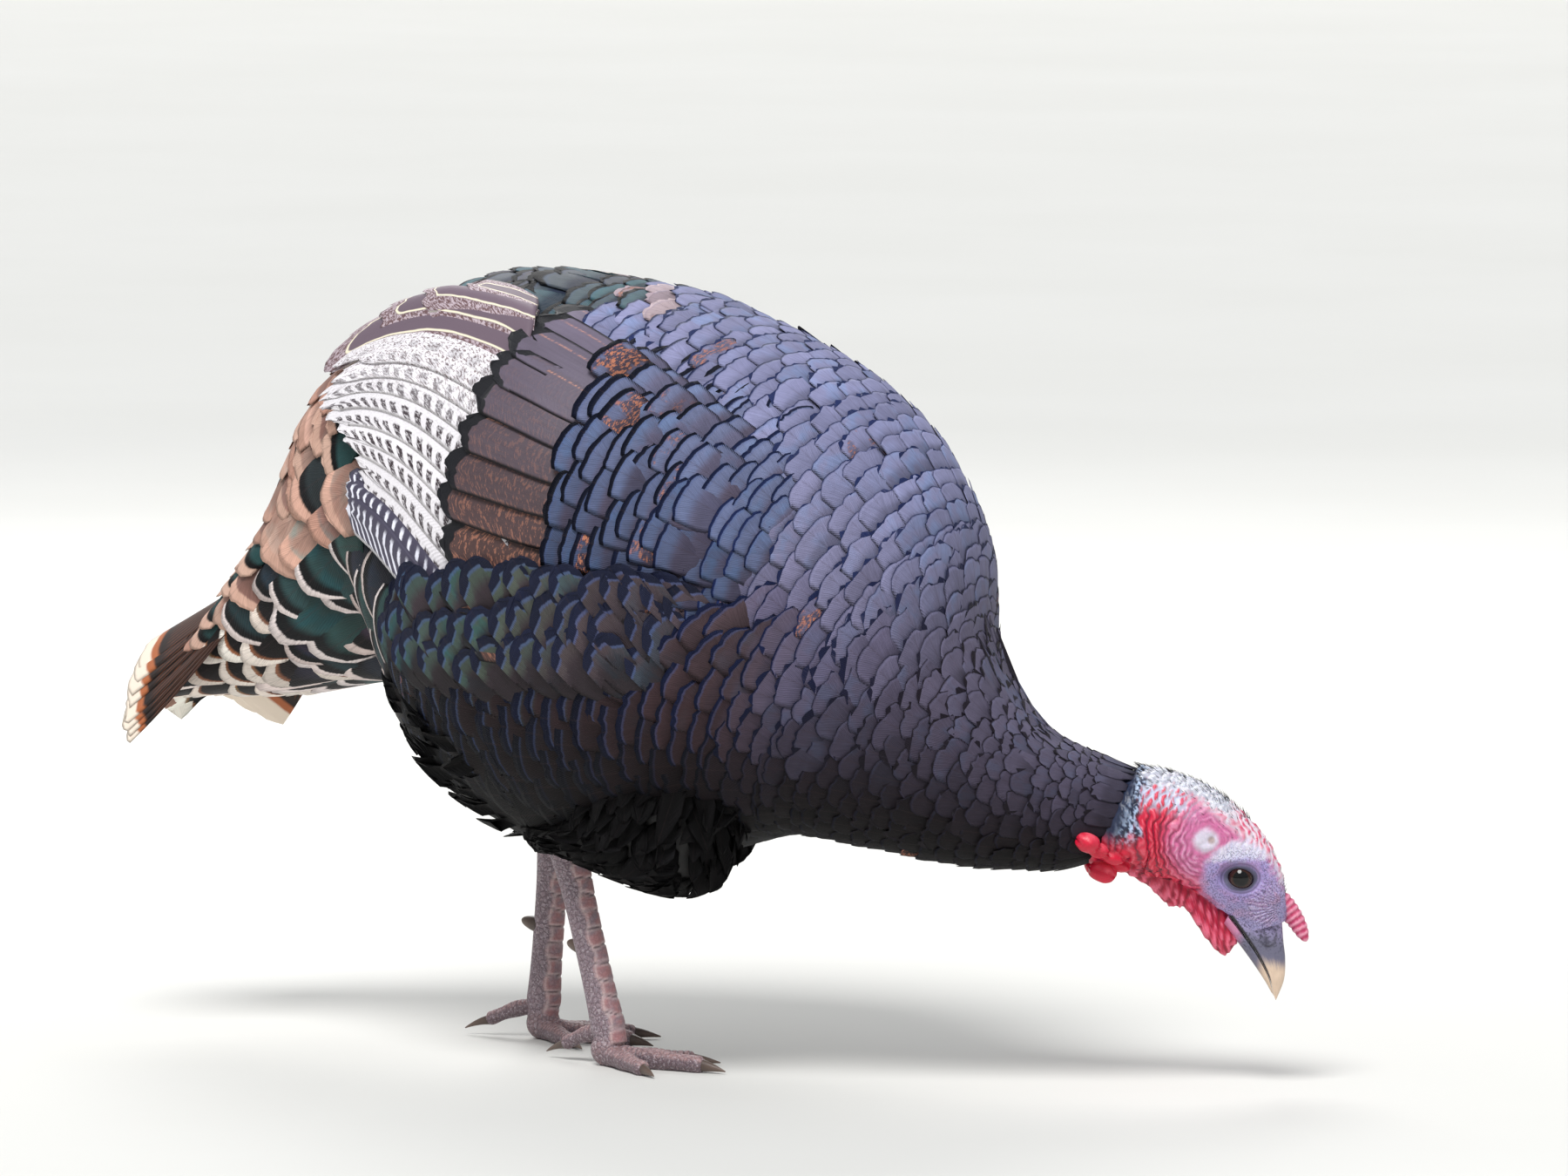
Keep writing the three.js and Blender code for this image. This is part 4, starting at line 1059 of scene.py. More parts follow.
# The folded tail as a surface like a low roof: k from the tips to the roots, j across from right to left.
def tailSurface(k, j, lift=0.0):
    k, j, lift = np.broadcast_arrays(k, j, lift)
    value, _ = readRows(np.array(tail["rows"], float), 2 * (1 - k))
    j = -j
    drop = value[..., 3] * np.abs(j) ** 1.3
    tilt = 1.3 * value[..., 3] * np.sign(j) * np.abs(j) ** 0.3 / value[..., 2]
    slope = 1 / np.sqrt(1 + tilt**2)
    x = value[..., 0] - lift * 0.45 * slope
    y = value[..., 2] * j + lift * tilt * slope
    z = value[..., 1] - drop + lift * slope
    return toFrame(np.stack([x, y, z], -1))


def tailFinish():  # dark brown with fine rufous bars, then a rufous band and a white tip
    look = Finish("barredTail", Roughness=0.55, Specular_IOR_Level=0.35)
    across, along, shift = look.vane()
    off = look.fromShaft(across)
    grain = look.grain(along, 50.0, across, 8.0, shift, 0.65)
    waver = look.times(look.minus(grain, 0.5), 0.5)
    phase = look.plus(look.times(along, 8.0), look.plus(waver, look.times(off, -9.0)))
    bars = look.within(look.maths("FRACT", phase), 0.38, 0.62, 0.12)
    bars = look.times(bars, look.ramp(along, 0.84, 0.78))
    place = look.plus(along, look.times(waver, 0.03))
    colour = look.blend(look.times(bars, 0.8), paint(34, 22, 18), paint(120, 66, 40))
    colour = look.blend(look.ramp(place, 0.86, 0.885), colour, paint(172, 98, 58))
    colour = look.blend(look.ramp(place, 0.91, 0.93), colour, paint(238, 222, 204))
    colour = look.blend(look.times(look.ramp(off, 0.06, 0.02), 0.7), colour, paint(40, 26, 20))
    look.colour(colour)
    look.bump(look.plus(grain, look.times(look.ramp(off, 0.08, 0.0), 1.5)), 0.3, 0.0006)
    return look.material


def tailRoots(seed):  # side by side over the roof, the middle ones on top
    rng = np.random.default_rng(seed)
    n = tail["feathers"]
    j = np.linspace(-0.9, 0.9, n)
    order = 1 - np.abs(j)
    brown = tone(n, paint(60, 40, 30))
    return {
        "s": np.full(n, 1.05), "turn": -j, "length": 139 - 7 * np.abs(j) ** 2 + rng.uniform(-2, 2, n),
        "width": np.full(n, 36.0), "flow": np.zeros(n),
        "low": -5 + 4.5 * order, "high": -4.2 + 4.5 * order,
        "base": brown, "near": brown, "tip": brown,
        "marks": np.zeros((n, 3)), "spot": unwrapOf(np.zeros(n), j * 1.2 + math.pi / 2),
    }


plumes("tailFeathers", tailRoots(81),
       {"columns": 13, "rows": 26, "tipRound": 0.13, "crown": 0.03, "roll": 0.0, "wander": 0.5, "loose": 0.15,
        "patch": 0.05, "side": 1, "rootWide": 0.6, "ragged": 0.008},
       tailFinish(), tailSurface, ("tail",), 83)


legs = {
    "right": {"side": -1, "ankle": (52, -40), "hock": (25, -41), "knee": (112, -62)},
    "left": {"side": 1, "ankle": (-52, 40), "hock": (-44, 41), "knee": (44, 62)},
    "hockHeight": 122.4,
}


# A thigh: rings round a path from the hock up to the knee, half * cos(turn) long and 0.72 * half *
# sin(turn) wide, where half grows by the sine of the way.
def thighSurface(leg):
    (hx, hy), (kx, ky) = leg["hock"], leg["knee"]
    path = np.array([
        [hx, hy, legs["hockHeight"]], [lerp(hx, kx, 0.22), lerp(hy, ky, 0.4), 126],
        [lerp(hx, kx, 0.7), lerp(hy, ky, 0.9), 134], [kx, ky, 176],
    ], float)

    def surface(s, turn, lift=0.0):  # a drop from the hock at 0 to the knee at 3
        s, turn, lift = np.broadcast_arrays(s, turn, lift)
        value, _ = readRows(path, s)
        k = np.clip(s / 3, 0, 1)
        half = 17 + 40 * np.sin(math.pi / 2 * k) ** 0.8 + lift
        out = np.stack([half, 0 * half, -half * 0.5 * np.sin(math.pi * k)], -1)
        over = np.stack([0 * half, half * 0.72, 0 * half], -1)
        ring = out * np.cos(turn)[..., None] + over * np.sin(turn)[..., None]
        return toFrame(value + ring)
    return surface


def thighRoots(seed):  # rows of small black feathers, shorter near the hock
    rng = np.random.default_rng(seed)
    rows, across = np.meshgrid(np.arange(0.34, 3.2, 0.17), np.arange(26), indexing="ij")
    turn = across + 0.5 * (np.arange(len(rows))[:, None] % 2) + rng.uniform(-0.2, 0.2, rows.shape)
    turn = turn / 26 * 2 * math.pi
    s = (rows + rng.uniform(-0.05, 0.05, rows.shape)).ravel()
    n = len(s)
    black = tone(n, paint(8, 6, 8), 0.3, rng, 0.0)
    return {
        "s": s, "turn": turn.ravel(), "length": np.minimum(rng.uniform(20, 36, n), 6 + 22 * s),
        "width": rng.uniform(9, 15, n),
        "flow": rng.normal(0, 14, n), "low": np.full(n, -8.0), "high": rng.uniform(-2, 3.5, n),
        "base": black, "near": tone(n, paint(8, 6, 8), 0.3, rng, 0.7),
        "tip": tone(n, paint(5, 4, 6), 0.3, rng, 0.93),
        "marks": np.tile([[0.0, 0.1, 0.02]], (n, 1)),
        "spot": unwrapOf(4 + s * 0.5, turn.ravel() * 0.12 - 1.57),
    }


for label in sides:
    plumes(f"{label}ThighFeathers", thighRoots(91),
           {"columns": 7, "tipRound": 0.45, "tipPower": 1.6, "ragged": 0.05, "wander": 9, "loose": 1.0},
           contour, thighSurface(legs[label]), (f"thigh_{label}",), 92)


head = {
    "eye": (-3.5, 0.0, 10.6),  # forward, up, to the side, in mm in the head's plane
    "eyeRadius": 8.4,
    "opening": (7.5, 5.8),  # half the eye's opening along and across
    "openingTilt": -13.0,
    "ear": (-23.5, 22.5, 6.0),
}


def wobble(points, size, seed, octaves=3):  # smooth unevenness from crossing waves, about -1 to 1
    rng = np.random.default_rng(seed)
    total = np.zeros(points.shape[:-1])
    for octave in range(octaves):
        for _ in range(5):
            way = unit(rng.normal(0, 1, 3)) * 2 * math.pi * 2**octave / size
            bend = unit(rng.normal(0, 1, 3)) * 2 * math.pi * 2**octave / size / 1.7
            wave = np.sin(points @ way + 1.4 * np.sin(points @ bend) + rng.uniform(0, 6))
            total = total + wave * 0.45 / 1.8**octave
    return total / 1.6


# The head's relief in mm along the skin's normal, its colour, and how pebbled and how wet it is.
# Cords ring each ear, finer in front and broken into beads behind; the crown carries the same rows
# in pink beads on white, the face is violet and pebbled, the nape is white.
def headLook(points, turn, s):
    f, u, w = fromHead(points)
    local = np.stack([f, u, np.abs(w)], -1)
    up = np.sin(turn)
    bare = soft(s, 11.5, 12.0)
    eyeF, eyeU, _ = head["eye"]
    x, y = f - eyeF, u - eyeU
    # the violet face reaches from behind the eye to the bill
    slide = np.clip(((f + 5) * 17 + (u + 2) * -28) / 1073, 0, 1)
    toFace = np.hypot(f + 5 - 17 * slide, u + 2 + 28 * slide)
    face = soft(toFace + 1.4 * wobble(local, 14, 2, 2), 24.5, 17.0)
    earF, earU, earR = head["ear"]
    toEar = np.hypot(f - earF, (u - earU) * 1.06)
    ring = np.hypot(f - earF - 3, u - earU + 1) + 2.3 * wobble(local, 22, 3, 3)
    rows = 13.6 * np.log1p(ring / 24)
    row = np.floor(rows)
    angle = np.arctan2(u - earU, f - earF)
    ridge = 0.5 - 0.5 * np.cos(2 * math.pi * rows)
    beads = angle * ring / (3.2 + 0.06 * ring) + np.mod(row * 0.618, 1)
    bead = 0.5 + 0.5 * np.cos(2 * math.pi * beads + 0.8 * wobble(local, 9, 4, 1))
    behind = soft(f, -28, -46)
    crown = soft(up, 0.5, 0.75) * soft(f, -34, -20)
    throat = soft(-up, 0.5, 0.95)
    nape = soft(up + 0.1 * wobble(local, 8, 15, 2), 0.62, 0.82) * soft(f, -3, -12) * bare
    knots = soft(up, 0.15, 0.5) * soft(up, 0.92, 0.75) * soft(f, -24, -40)  # beads high behind the ear
    broken = soft(wobble(local, 11, 19, 2), 0.15, 0.75)
    cord = ridge**0.7 * (1 - (0.1 + 0.2 * behind + 0.3 * crown + 0.6 * knots) * bead**2)
    cord = cord * (1 - 0.55 * broken) * soft(toEar, 5.5, 13)
    relief = cord * (0.6 + 1.25 * behind + 0.25 * crown) * (1 - face) * (1 - 0.75 * nape)
    relief = relief * (1 - 0.35 * throat)
    relief = relief + 0.35 * wobble(local, 6, 5, 2) * (1 - face)
    # granules on the crown and the nape, pebbles on the face
    grain = np.maximum(0, wobble(local, 3.4, 8, 2))
    relief = relief + grain * 0.5 * nape + 0.16 * wobble(local, 2.6, 9, 2) * face
    # fine wrinkles round the eye and down the lores
    toEye = np.hypot(x, y * 1.15)
    wrinkle = np.sin(2 * math.pi * toEye / 1.5 + 1.6 * wobble(local, 8, 11, 2))
    lores = soft(np.hypot((f - 10) / 10, (u + 14) / 14), 1.2, 0.7)
    relief = relief + 0.13 * wrinkle * soft(toEye, 8.5, 10) * soft(toEye, 24, 14)
    fan = np.sin(2 * math.pi * (np.arctan2(u + 17, f - 24) * 8 + 0.3 * wobble(local, 7, 12, 1)))
    relief = relief + 0.3 * fan * lores
    relief = relief + 1.5 * hill(x + 1, 0, 10) * hill(y, 8.6, 2.8) - 0.9 * hill(x, 10.5, 4) * hill(y, -3, 4)
    relief = relief - 0.8 * hill(x, 0, 8) * hill(y, -8, 2.6)
    # the ear: a soft pale swelling round a small hollow
    relief = relief + 0.8 * hill(toEar, 4.4, 2.2) - 1.3 * hill(np.hypot(f - earF - 3.2, u - earU), 0, 2.0)
    # the corner of the mouth, with a fold below it
    along = np.clip(((f + 15) * 8.5 + (u + 20.5) * -6) / 108, 0, 1)
    toGape = np.hypot(f + 15 - 8.5 * along, u + 20.5 + 6 * along)
    gape = hill(toGape, 0, 1.0) * (np.abs(w) > 3)
    relief = relief + 1.0 * hill(toGape, 2.8, 1.4) * (np.abs(w) > 3) - 1.8 * gape

    # painted light and shade on the cords: lighter on their tops as a painted highlight, darker crimson in
    # the gaps between them as painted shade
    gapShade = soft(cord, 0.34, 0.06) * (1 - face) * soft(toEar, 7, 12)
    peakHighlight = soft(cord, 0.55, 0.95)
    front = soft(ring, 33, 17)
    tint = lay(paint(206, 30, 64), peakHighlight * (0.3 + 0.5 * hill(bead, 0, 0.5)) * 0.75, paint(244, 104, 124))
    tint = lay(tint, front * 0.8, paint(204, 122, 172))
    tint = lay(tint, front * peakHighlight * 0.4, paint(236, 196, 222))
    tint = lay(tint, gapShade * (0.8 - 0.45 * front), paint(92, 14, 46))
    tint = lay(tint, knots * soft(cord, 0.62, 0.3) * 0.9, paint(196, 206, 228))
    tint = lay(tint, crown, paint(232, 214, 226))
    tint = lay(tint, crown * soft(cord, 0.25, 0.6) * (1 - 0.5 * bead), paint(212, 66, 106))
    blotch = 0.5 + 0.5 * wobble(local, 13, 13, 3)
    tint = lay(tint, face, paint(176, 162, 212))
    tint = lay(tint, face * soft(blotch, 0.45, 0.85) * 0.55, paint(214, 160, 198))
    tint = lay(tint, face * soft(-y, 7, 20) * soft(f, -14, 0) * 0.6, paint(140, 136, 172))
    tint = lay(tint, face * soft(wrinkle, 0.2, -0.9) * soft(toEye, 24, 12) * 0.4, paint(128, 92, 160))
    tint = lay(tint, lores * soft(fan, -0.5, 0.7) * 0.35, paint(226, 206, 230))
    tint = lay(tint, lores * soft(fan, -0.3, -1.0) * 0.35, paint(176, 104, 154))
    brow = np.hypot((x + 0.5) / 17, (y - 16 + 0.012 * x * x) / 6.5)
    brow = soft(brow + 0.2 * wobble(local, 7, 14, 2), 1.15, 0.65)
    tint = lay(tint, brow * 0.85, paint(226, 226, 240))
    tint = lay(tint, brow * soft(cord, 0.5, 0.1) * 0.3, paint(160, 150, 196))
    tint = lay(tint, nape * soft(s, 11.6, 12.1), paint(232, 232, 240))
    tint = lay(tint, nape * soft(grain, 0.08, 0.0) * 0.45, paint(120, 124, 150))
    pale = soft(toEar + 0.7 * wobble(local, 7, 16, 2), earR + 3.4, earR - 1.4)
    tint = lay(tint, pale * 0.88, paint(214, 214, 228))
    tint = lay(tint, soft(np.hypot(f - earF - 3.2, u - earU), 2.9, 1.2) * 0.7, paint(160, 134, 118))
    edge = bareFrom(turn)
    collar = soft(s + 0.2 * wobble(local, 9, 18, 2), edge + 0.58, edge + 0.25) * soft(up, -0.6, -0.15)
    flecks = soft(wobble(local, 3.8, 17, 3), -0.1, 0.25) * soft(s, edge - 0.1, edge + 0.3)
    tint = lay(tint, collar, lay(paint(38, 46, 70), flecks, paint(176, 194, 222)))
    relief = relief + 0.5 * flecks * collar
    tint = lay(tint, gape, paint(30, 22, 36))
    e = np.hypot(x / head["opening"][0], y / head["opening"][1])
    tint = lay(tint, 0.5 * soft(e, 2.6, 1.7), paint(150, 134, 190))
    tint = lay(tint, 0.6 * hill(e, 1.46, 0.1), paint(52, 46, 72))
    tint = lay(tint, soft(e, 1.4, 1.26), paint(84, 82, 108))
    feel = np.stack([face * soft(e, 1.5, 1.9) + 0.4 * nape, (1 - face) * (1 - nape), np.zeros_like(f)], -1)
    return relief, tint, feel


# The eyelids: near each eye the skin follows a rim just outside the eyeball, and dips under it.
def openLids(points):
    f, u, w = fromHead(points)
    eyeF, eyeU, eyeW = head["eye"]
    tilt = math.radians(head["openingTilt"])
    x, y = f - eyeF, u - eyeU
    a = (x * math.cos(tilt) + y * math.sin(tilt)) / head["opening"][0]
    b = (y * math.cos(tilt) - x * math.sin(tilt)) / head["opening"][1]
    e = np.hypot(a, b)
    shrink = np.minimum(1, 1.04 / np.maximum(e, 1e-6))
    ball = np.sqrt(np.maximum(head["eyeRadius"] ** 2 - (x * shrink) ** 2 - (y * shrink) ** 2, 0))
    rim = eyeW + ball + lerp(-2.2, 0.75, soft(e, 0.9, 1.02))
    rim = rim + 0.35 * hill(e, 1.2, 0.13) - 0.5 * hill(e, 1.5, 0.1)
    share = soft(e, 1.95, 1.3)
    return inHead(f, u, np.sign(w) * (np.abs(w) * (1 - share) + rim * share)) * mm + ankleMiddle * mm


skin = {"aroundBody": 224, "bodyRings": 34, "headRings": 252}


def turned(points, corners, lengths):  # faces turned to point outwards, by the sign of the volume
    starts = np.concatenate([[0], np.cumsum(lengths)[:-1]])
    face = np.repeat(np.arange(len(lengths)), lengths)
    within = np.arange(len(corners)) - starts[face]
    ahead = starts[face] + (within + 1) % lengths[face]
    first = points[corners[starts[face]]]
    volume = np.einsum("ij,ij->", first, np.cross(points[corners], points[corners[ahead]]))
    if volume > 0:
        return corners
    return corners[starts[face] + lengths[face] - 1 - within]


skinShells = []


# A closed shell of skin: rings of points, their colour and their feel (pebbled, wet, scaled).
def addShell(points, tint, feel, ends=True):
    rows, columns = points.shape[:2]
    corners, lengths = gridFaces(rows, columns, closed=True, capped=ends)
    if not ends:  # the rings close on themselves
        r, c = rows - 1, np.arange(columns)
        n = (c + 1) % columns
        seam = np.stack([r * columns + c, r * columns + n, n, c], -1)
        corners = np.concatenate([corners, seam.ravel()])
        lengths = np.concatenate([lengths, np.full(columns, 4)])
    flatPoints = points.reshape(-1, 3)
    corners = turned(flatPoints, corners, lengths)
    spread = lambda value: np.broadcast_to(np.asarray(value, float)[..., :3], points.shape).reshape(-1, 3)
    tint = np.hstack([spread(tint), np.ones((rows * columns, 1))])
    skinShells.append((flatPoints, corners, lengths, tint, spread(feel)))


# Rings round a path: wide * cos(turn) to the side of it and high * sin(turn) over it.
def ringsAlong(path, wide, high, around, side=None):
    way = unit(np.gradient(path, axis=0))
    first = np.array([0.0, 1.0, 0.0])
    side = unit(first - way * (way @ first)[:, None]) if side is None else side
    rise = np.cross(way, side)
    turn = circle(around)
    out = side[:, None, :] * (wide[:, None] * np.cos(turn))[..., None]
    return path[:, None, :] + out + rise[:, None, :] * (high[:, None] * np.sin(turn))[..., None]


# The body and head as one shell: coarse rings under the plumage, fine ones over the bare head, moved
# along the skin's normal by the head's relief.
def bodySkin():
    under = np.linspace(0.0, 11.3, skin["bodyRings"])[:-1]
    rings = np.concatenate([under, np.linspace(11.3, lastStation, skin["headRings"])])
    turn = circle(skin["aroundBody"])[None, :]
    s = rings[:, None]
    bare = soft(s - (bareFrom(turn) - 0.3), 0, 0.35)
    depth = coat["depth"] * (1 - 0.5 * soft(s, 8, 11.5)) * (1 - bare) + 0.8 * bare * soft(s, 13.2, 12.2)
    points = bodyPoint(s, turn, -depth)
    step = 0.01
    along = bodyPoint(s + step, turn) - bodyPoint(s - step, turn)
    out = unit(np.cross(bodyPoint(s, turn + step) - bodyPoint(s, turn - step), along))
    relief, tint, feel = headLook(points, turn, s)
    relief = relief * bare * soft(s, 18, 17.7)
    points = points + out * relief[..., None] * mm
    points = np.where((s > 13)[..., None], openLids(points), points)
    hidden = 1 - soft(s - (bareFrom(turn) - 0.5), 0, 0.3)
    addShell(points, lay(tint, hidden, paint(70, 58, 62)), feel)


# A thin rounded rim round each eye's opening: a ring whose points are swept round by spin.
def lidRings():
    turn = circle(72)
    tilt = math.radians(head["openingTilt"])
    for side in (-1, 1):
        a, b = 1.04 * head["opening"][0] * np.cos(turn), 1.04 * head["opening"][1] * np.sin(turn)
        x, y = a * math.cos(tilt) - b * math.sin(tilt), a * math.sin(tilt) + b * math.cos(tilt)
        high = head["eye"][2] + np.sqrt(head["eyeRadius"] ** 2 - x**2 - y**2) + 0.55
        path = toFrame(inHead(head["eye"][0] + x, head["eye"][1] + y, side * high))
        out = unit(path - path.mean(0))[:, None, :]
        away = unit(inHead(0, 0, side) - inHead(0, 0, 0))
        spin = circle(10)[None, :, None]
        points = path[:, None, :] + (out * np.cos(spin) + away * np.sin(spin)) * 0.62 * mm
        addShell(points, paint(62, 58, 78), (0.1, 0.4, 0), ends=False)


snood = {
    "path": [(11, -11, 0.5), (20, -16, 2.5), (28, -26, 4.5), (34.5, -38.5, 5)],  # forward, up, side
    "folds": 11,
}


# The snood: rings along a drooping path, swelling and narrowing with its folds.
def snoodSkin():
    k = np.linspace(0, 1, 84)
    path, _ = readRows(inHead(*np.array(snood["path"], float).T), 3 * k)
    folds = 0.5 + 0.5 * np.cos(2 * math.pi * (k * snood["folds"] + 0.25))
    radius = (7.6 - 3.6 * k) * np.sqrt(np.maximum(0.02, 1 - k**8)) * (1 + 0.13 * (folds**0.6 - 0.5))
    side = np.broadcast_to(unit(inHead(0, 0, 1) - inHead(0, 0, 0)), path.shape)
    points = toFrame(ringsAlong(path, radius * 0.86, radius, 28, side))
    light = np.clip(folds[:, None] ** 1.3 + 0.25 * wobble(points / mm, 3.0, 23, 2), 0, 1)
    addShell(points, lay(paint(192, 52, 98), light, paint(240, 158, 182)), (0.25, 0.5, 0))


dewlap = {  # forward and up
    "join": [(-64, 18), (-52, 12), (-41, 5), (-31, -4), (-21, -12.5), (-11, -21)],
    "edge": [(-71, 2), (-57, -6), (-44, -17.5), (-35, -19), (-24, -35), (-13, -46), (-5, -39)],
}


# The dewlap: a flap from the line where it joins the throat down to its edge, thicker along the rim,
# waving to and fro and creased.
def dewlapSkin():
    k = np.linspace(0, 1, 110)
    top, _ = readRows(np.array(dewlap["join"], float), 5 * k)
    low, _ = readRows(np.array(dewlap["edge"], float), 6 * k)
    turn = circle(36)[None, :]
    drop = (1 - np.cos(turn)) / 2
    half = lerp(2.2, 4.6, np.sin(math.pi * np.clip(k * 0.94 + 0.03, 0, 1)) ** 0.5)[:, None]
    rim = hill(drop, 0.88, 0.2) * 1.5
    wave = (1.8 * np.sin(k * 9) + 0.7 * np.sin(k * 31))[:, None]
    side = wave * drop - (half + rim) * np.sin(turn)
    f = top[:, :1] + (low - top)[:, :1] * drop
    u = top[:, 1:] + (low - top)[:, 1:] * drop
    points = toFrame(inHead(f, u, side))
    rough = wobble(points / mm, 6.0, 27, 3)
    crease = np.sin(2 * math.pi * (k[:, None] * 13 + 1.6 * drop) + 1.8 * wobble(points / mm, 12.0, 28, 2))
    out = unit(points - points.mean(1, keepdims=True))
    points = points + out * ((rough * 0.6 + crease * 0.45) * mm)[..., None]
    light = soft(rough + 0.6 * crease + 0.7 * hill(drop, 0.9, 0.25), 0.1, 1.3) * 0.75
    shadow = soft(crease + 0.4 * rough, -0.35, -1.0) * 0.7
    tint = lay(paint(192, 26, 62), light, paint(244, 122, 150))
    addShell(points, lay(tint, shadow, paint(112, 10, 38)), (0.1, 0.8, 0))


caruncles = [  # forward, up, side, half length, half height, half width
    (-90.5, 22, -31, 7.6, 6.0, 8.6), (-85.5, 17.5, -27, 7.0, 4.6, 5.5),
    (-82.5, 3.4, -13.5, 8.4, 6.4, 7.2),
    (-77, 13, -21, 7.4, 4.6, 5.6), (-73, 7.5, -12, 7.0, 4.4, 6.0), (-70, 16, -22, 4.6, 3.6, 3.4),
    (-91, 18, 33, 8.6, 7.0, 8.6), (-84, 12, 24, 7.2, 4.4, 5.5), (-85, 4, 12, 7.6, 6.2, 6.6),
]


# The caruncles: lumpy balls under the throat, each leaning forward.
def caruncleSkin():
    polar = np.linspace(0.05, math.pi - 0.05, 20)[:, None]
    turn = circle(26)[None, :]
    ring = np.sin(polar)
    ball = np.stack([np.cos(polar) + 0 * turn, ring * np.sin(turn), ring * np.cos(turn)], -1)
    for i, (f, u, w, long, high, wide) in enumerate(caruncles):
        rough = 1 + 0.07 * wobble(ball * 10 + i * 7, 14.0, 31 + i, 2)
        rough = rough - 0.1 * hill(np.sin(3 * turn + i), -1, 0.4)
        shape = ball * rough[..., None]
        lean = math.radians(-22)
        x = shape[..., 0] * long * math.cos(lean) - shape[..., 1] * high * math.sin(lean)
        y = shape[..., 0] * long * math.sin(lean) + shape[..., 1] * high * math.cos(lean)
        points = toFrame(inHead(f + x, u + y, w + shape[..., 2] * wide))
        light = soft(shape[..., 1] + 0.3 * wobble(ball * 10, 9.0, 50 + i, 2), 0.1, 1.1) * 0.55
        addShell(points, lay(paint(206, 22, 56), light, paint(248, 110, 128)), (0, 1.0, 0))


clawLength = 15
toes = {  # turn in degrees, length, half thickness and height of the root in mm
    "inner": (34, 50, 5.6, 0), "middle": (2, 66, 6.4, 0), "outer": (-32, 54, 5.8, 0),
    "hind": (170, 36, 5.0, 20),
}


# A shank with plates down its front and a net of small scales behind, the foot's pad, and the toes
# with a plate at each step.
def legSkin(leg):
    ankle, hock = np.array(leg["ankle"], float), np.array(leg["hock"], float)
    k = np.linspace(0, 1.16, 120)
    swell = 1 + 0.28 * np.abs(2 * np.minimum(k, 1) - 1) ** 3
    z = 12 + (legs["hockHeight"] - 12) * k
    path = np.concatenate([ankle + (hock - ankle) * ((z - 22) / 100)[:, None], z[:, None]], -1)
    low = soft(k, 0.0, 0.12)
    points = ringsAlong(path, 7.4 * swell * (0.75 + 0.25 * low), 9.4 * swell * (0.8 + 0.2 * low), 56)
    turn = circle(56)[None, :]
    roundLeg = np.arccos(np.clip(-np.sin(turn), -1, 1)) + 0.12 * np.sin(z[:, None] / 3.1)
    front = soft(roundLeg, 1.15, 0.95)
    step = np.mod(z[:, None] / 9.6 + 0.1 * np.cos(turn) + 0.12 * wobble(points, 26, 62, 2), 1)
    plate = 1 - soft(np.abs(step - 0.5), 0.38, 0.5)
    points = points + unit(points - path[:, None, :]) * (front * (0.8 * plate - 0.3))[..., None]
    rough = wobble(points, 9, 61, 2)
    rim = front * np.clip(hill(np.abs(step - 0.5), 0.39, 0.06) + hill(roundLeg, 0.93, 0.1), 0, 1)
    light = front * plate * soft(rough, -1.2, 0.6)
    tint = lay(paint(140, 122, 130), light, paint(168, 120, 122))
    tint = lay(tint, 0.6 * rim, paint(214, 194, 192))
    tint = lay(tint, front * soft(plate, 0.35, 0.0) * 0.8, paint(84, 64, 70))
    feel = np.stack([0 * light, 0 * light, 1 - 0.75 * front + 0 * light], -1)
    addShell(toFrame(points), tint, feel)
    polar = np.linspace(0.06, math.pi - 0.06, 18)[:, None]
    turn = circle(32)[None, :]
    x, y, z = np.sin(polar) * np.cos(turn), np.sin(polar) * np.sin(turn), np.cos(polar) + 0 * turn
    ball = np.stack([x * 10.4, y * 9.4, z * 10.4], -1)
    pad = ball + np.array([ankle[0], ankle[1], 9.6])
    pad[..., 2] = np.where(pad[..., 2] < 0.02, 0.0, pad[..., 2])  # its sole is flat on the floor
    addShell(toFrame(pad), paint(140, 118, 122), (0, 0, 1))
    for name in toes:
        path, root, out = toePath(leg, name, 52)
        k = np.linspace(0, 1, 52)
        joint = 1 + 0.07 * np.cos(k * 4 * math.pi + 0.4)
        end = np.sqrt(np.maximum(0.05, 1 - np.maximum(0, (k - 0.93) / 0.09) ** 2))
        radius = root * 1.06 * (1 - 0.3 * k) * joint * end
        side = np.broadcast_to(np.array([-out[1], out[0], 0.0]), path.shape)
        points = ringsAlong(path, radius, radius, 22, side)
        turn = circle(22)[None, :]
        upwards = -1 if np.cross(unit(path[1] - path[0]), side[0])[2] < 0 else 1
        high = soft(upwards * np.sin(turn), 0.1, 0.8)
        span = np.linalg.norm(path[-1] - path[0])
        step = np.mod(k[:, None] * span / 3.6, 1)
        plate = 1 - soft(np.abs(step - 0.5), 0.34, 0.5)
        points = points + unit(points - path[:, None, :]) * (high * (0.4 * plate - 0.25))[..., None]
        points[..., 2] = np.maximum(points[..., 2], 0.0)
        light = soft(plate * high + 0.2 * wobble(points, 8, 63, 2), 0.2, 0.9)
        addShell(toFrame(points), lay(paint(112, 94, 100), light, paint(164, 132, 132)), (0, 0, 0.8))


def thighSkin(leg):  # from inside the shank's top up into the body, under the thigh's feathers
    s = np.linspace(-0.05, 3.35, 44)[:, None]
    turn = circle(60)[None, :]
    addShell(thighSurface(leg)(s, turn, -8.6), paint(13, 11, 12), (0, 0, 0))


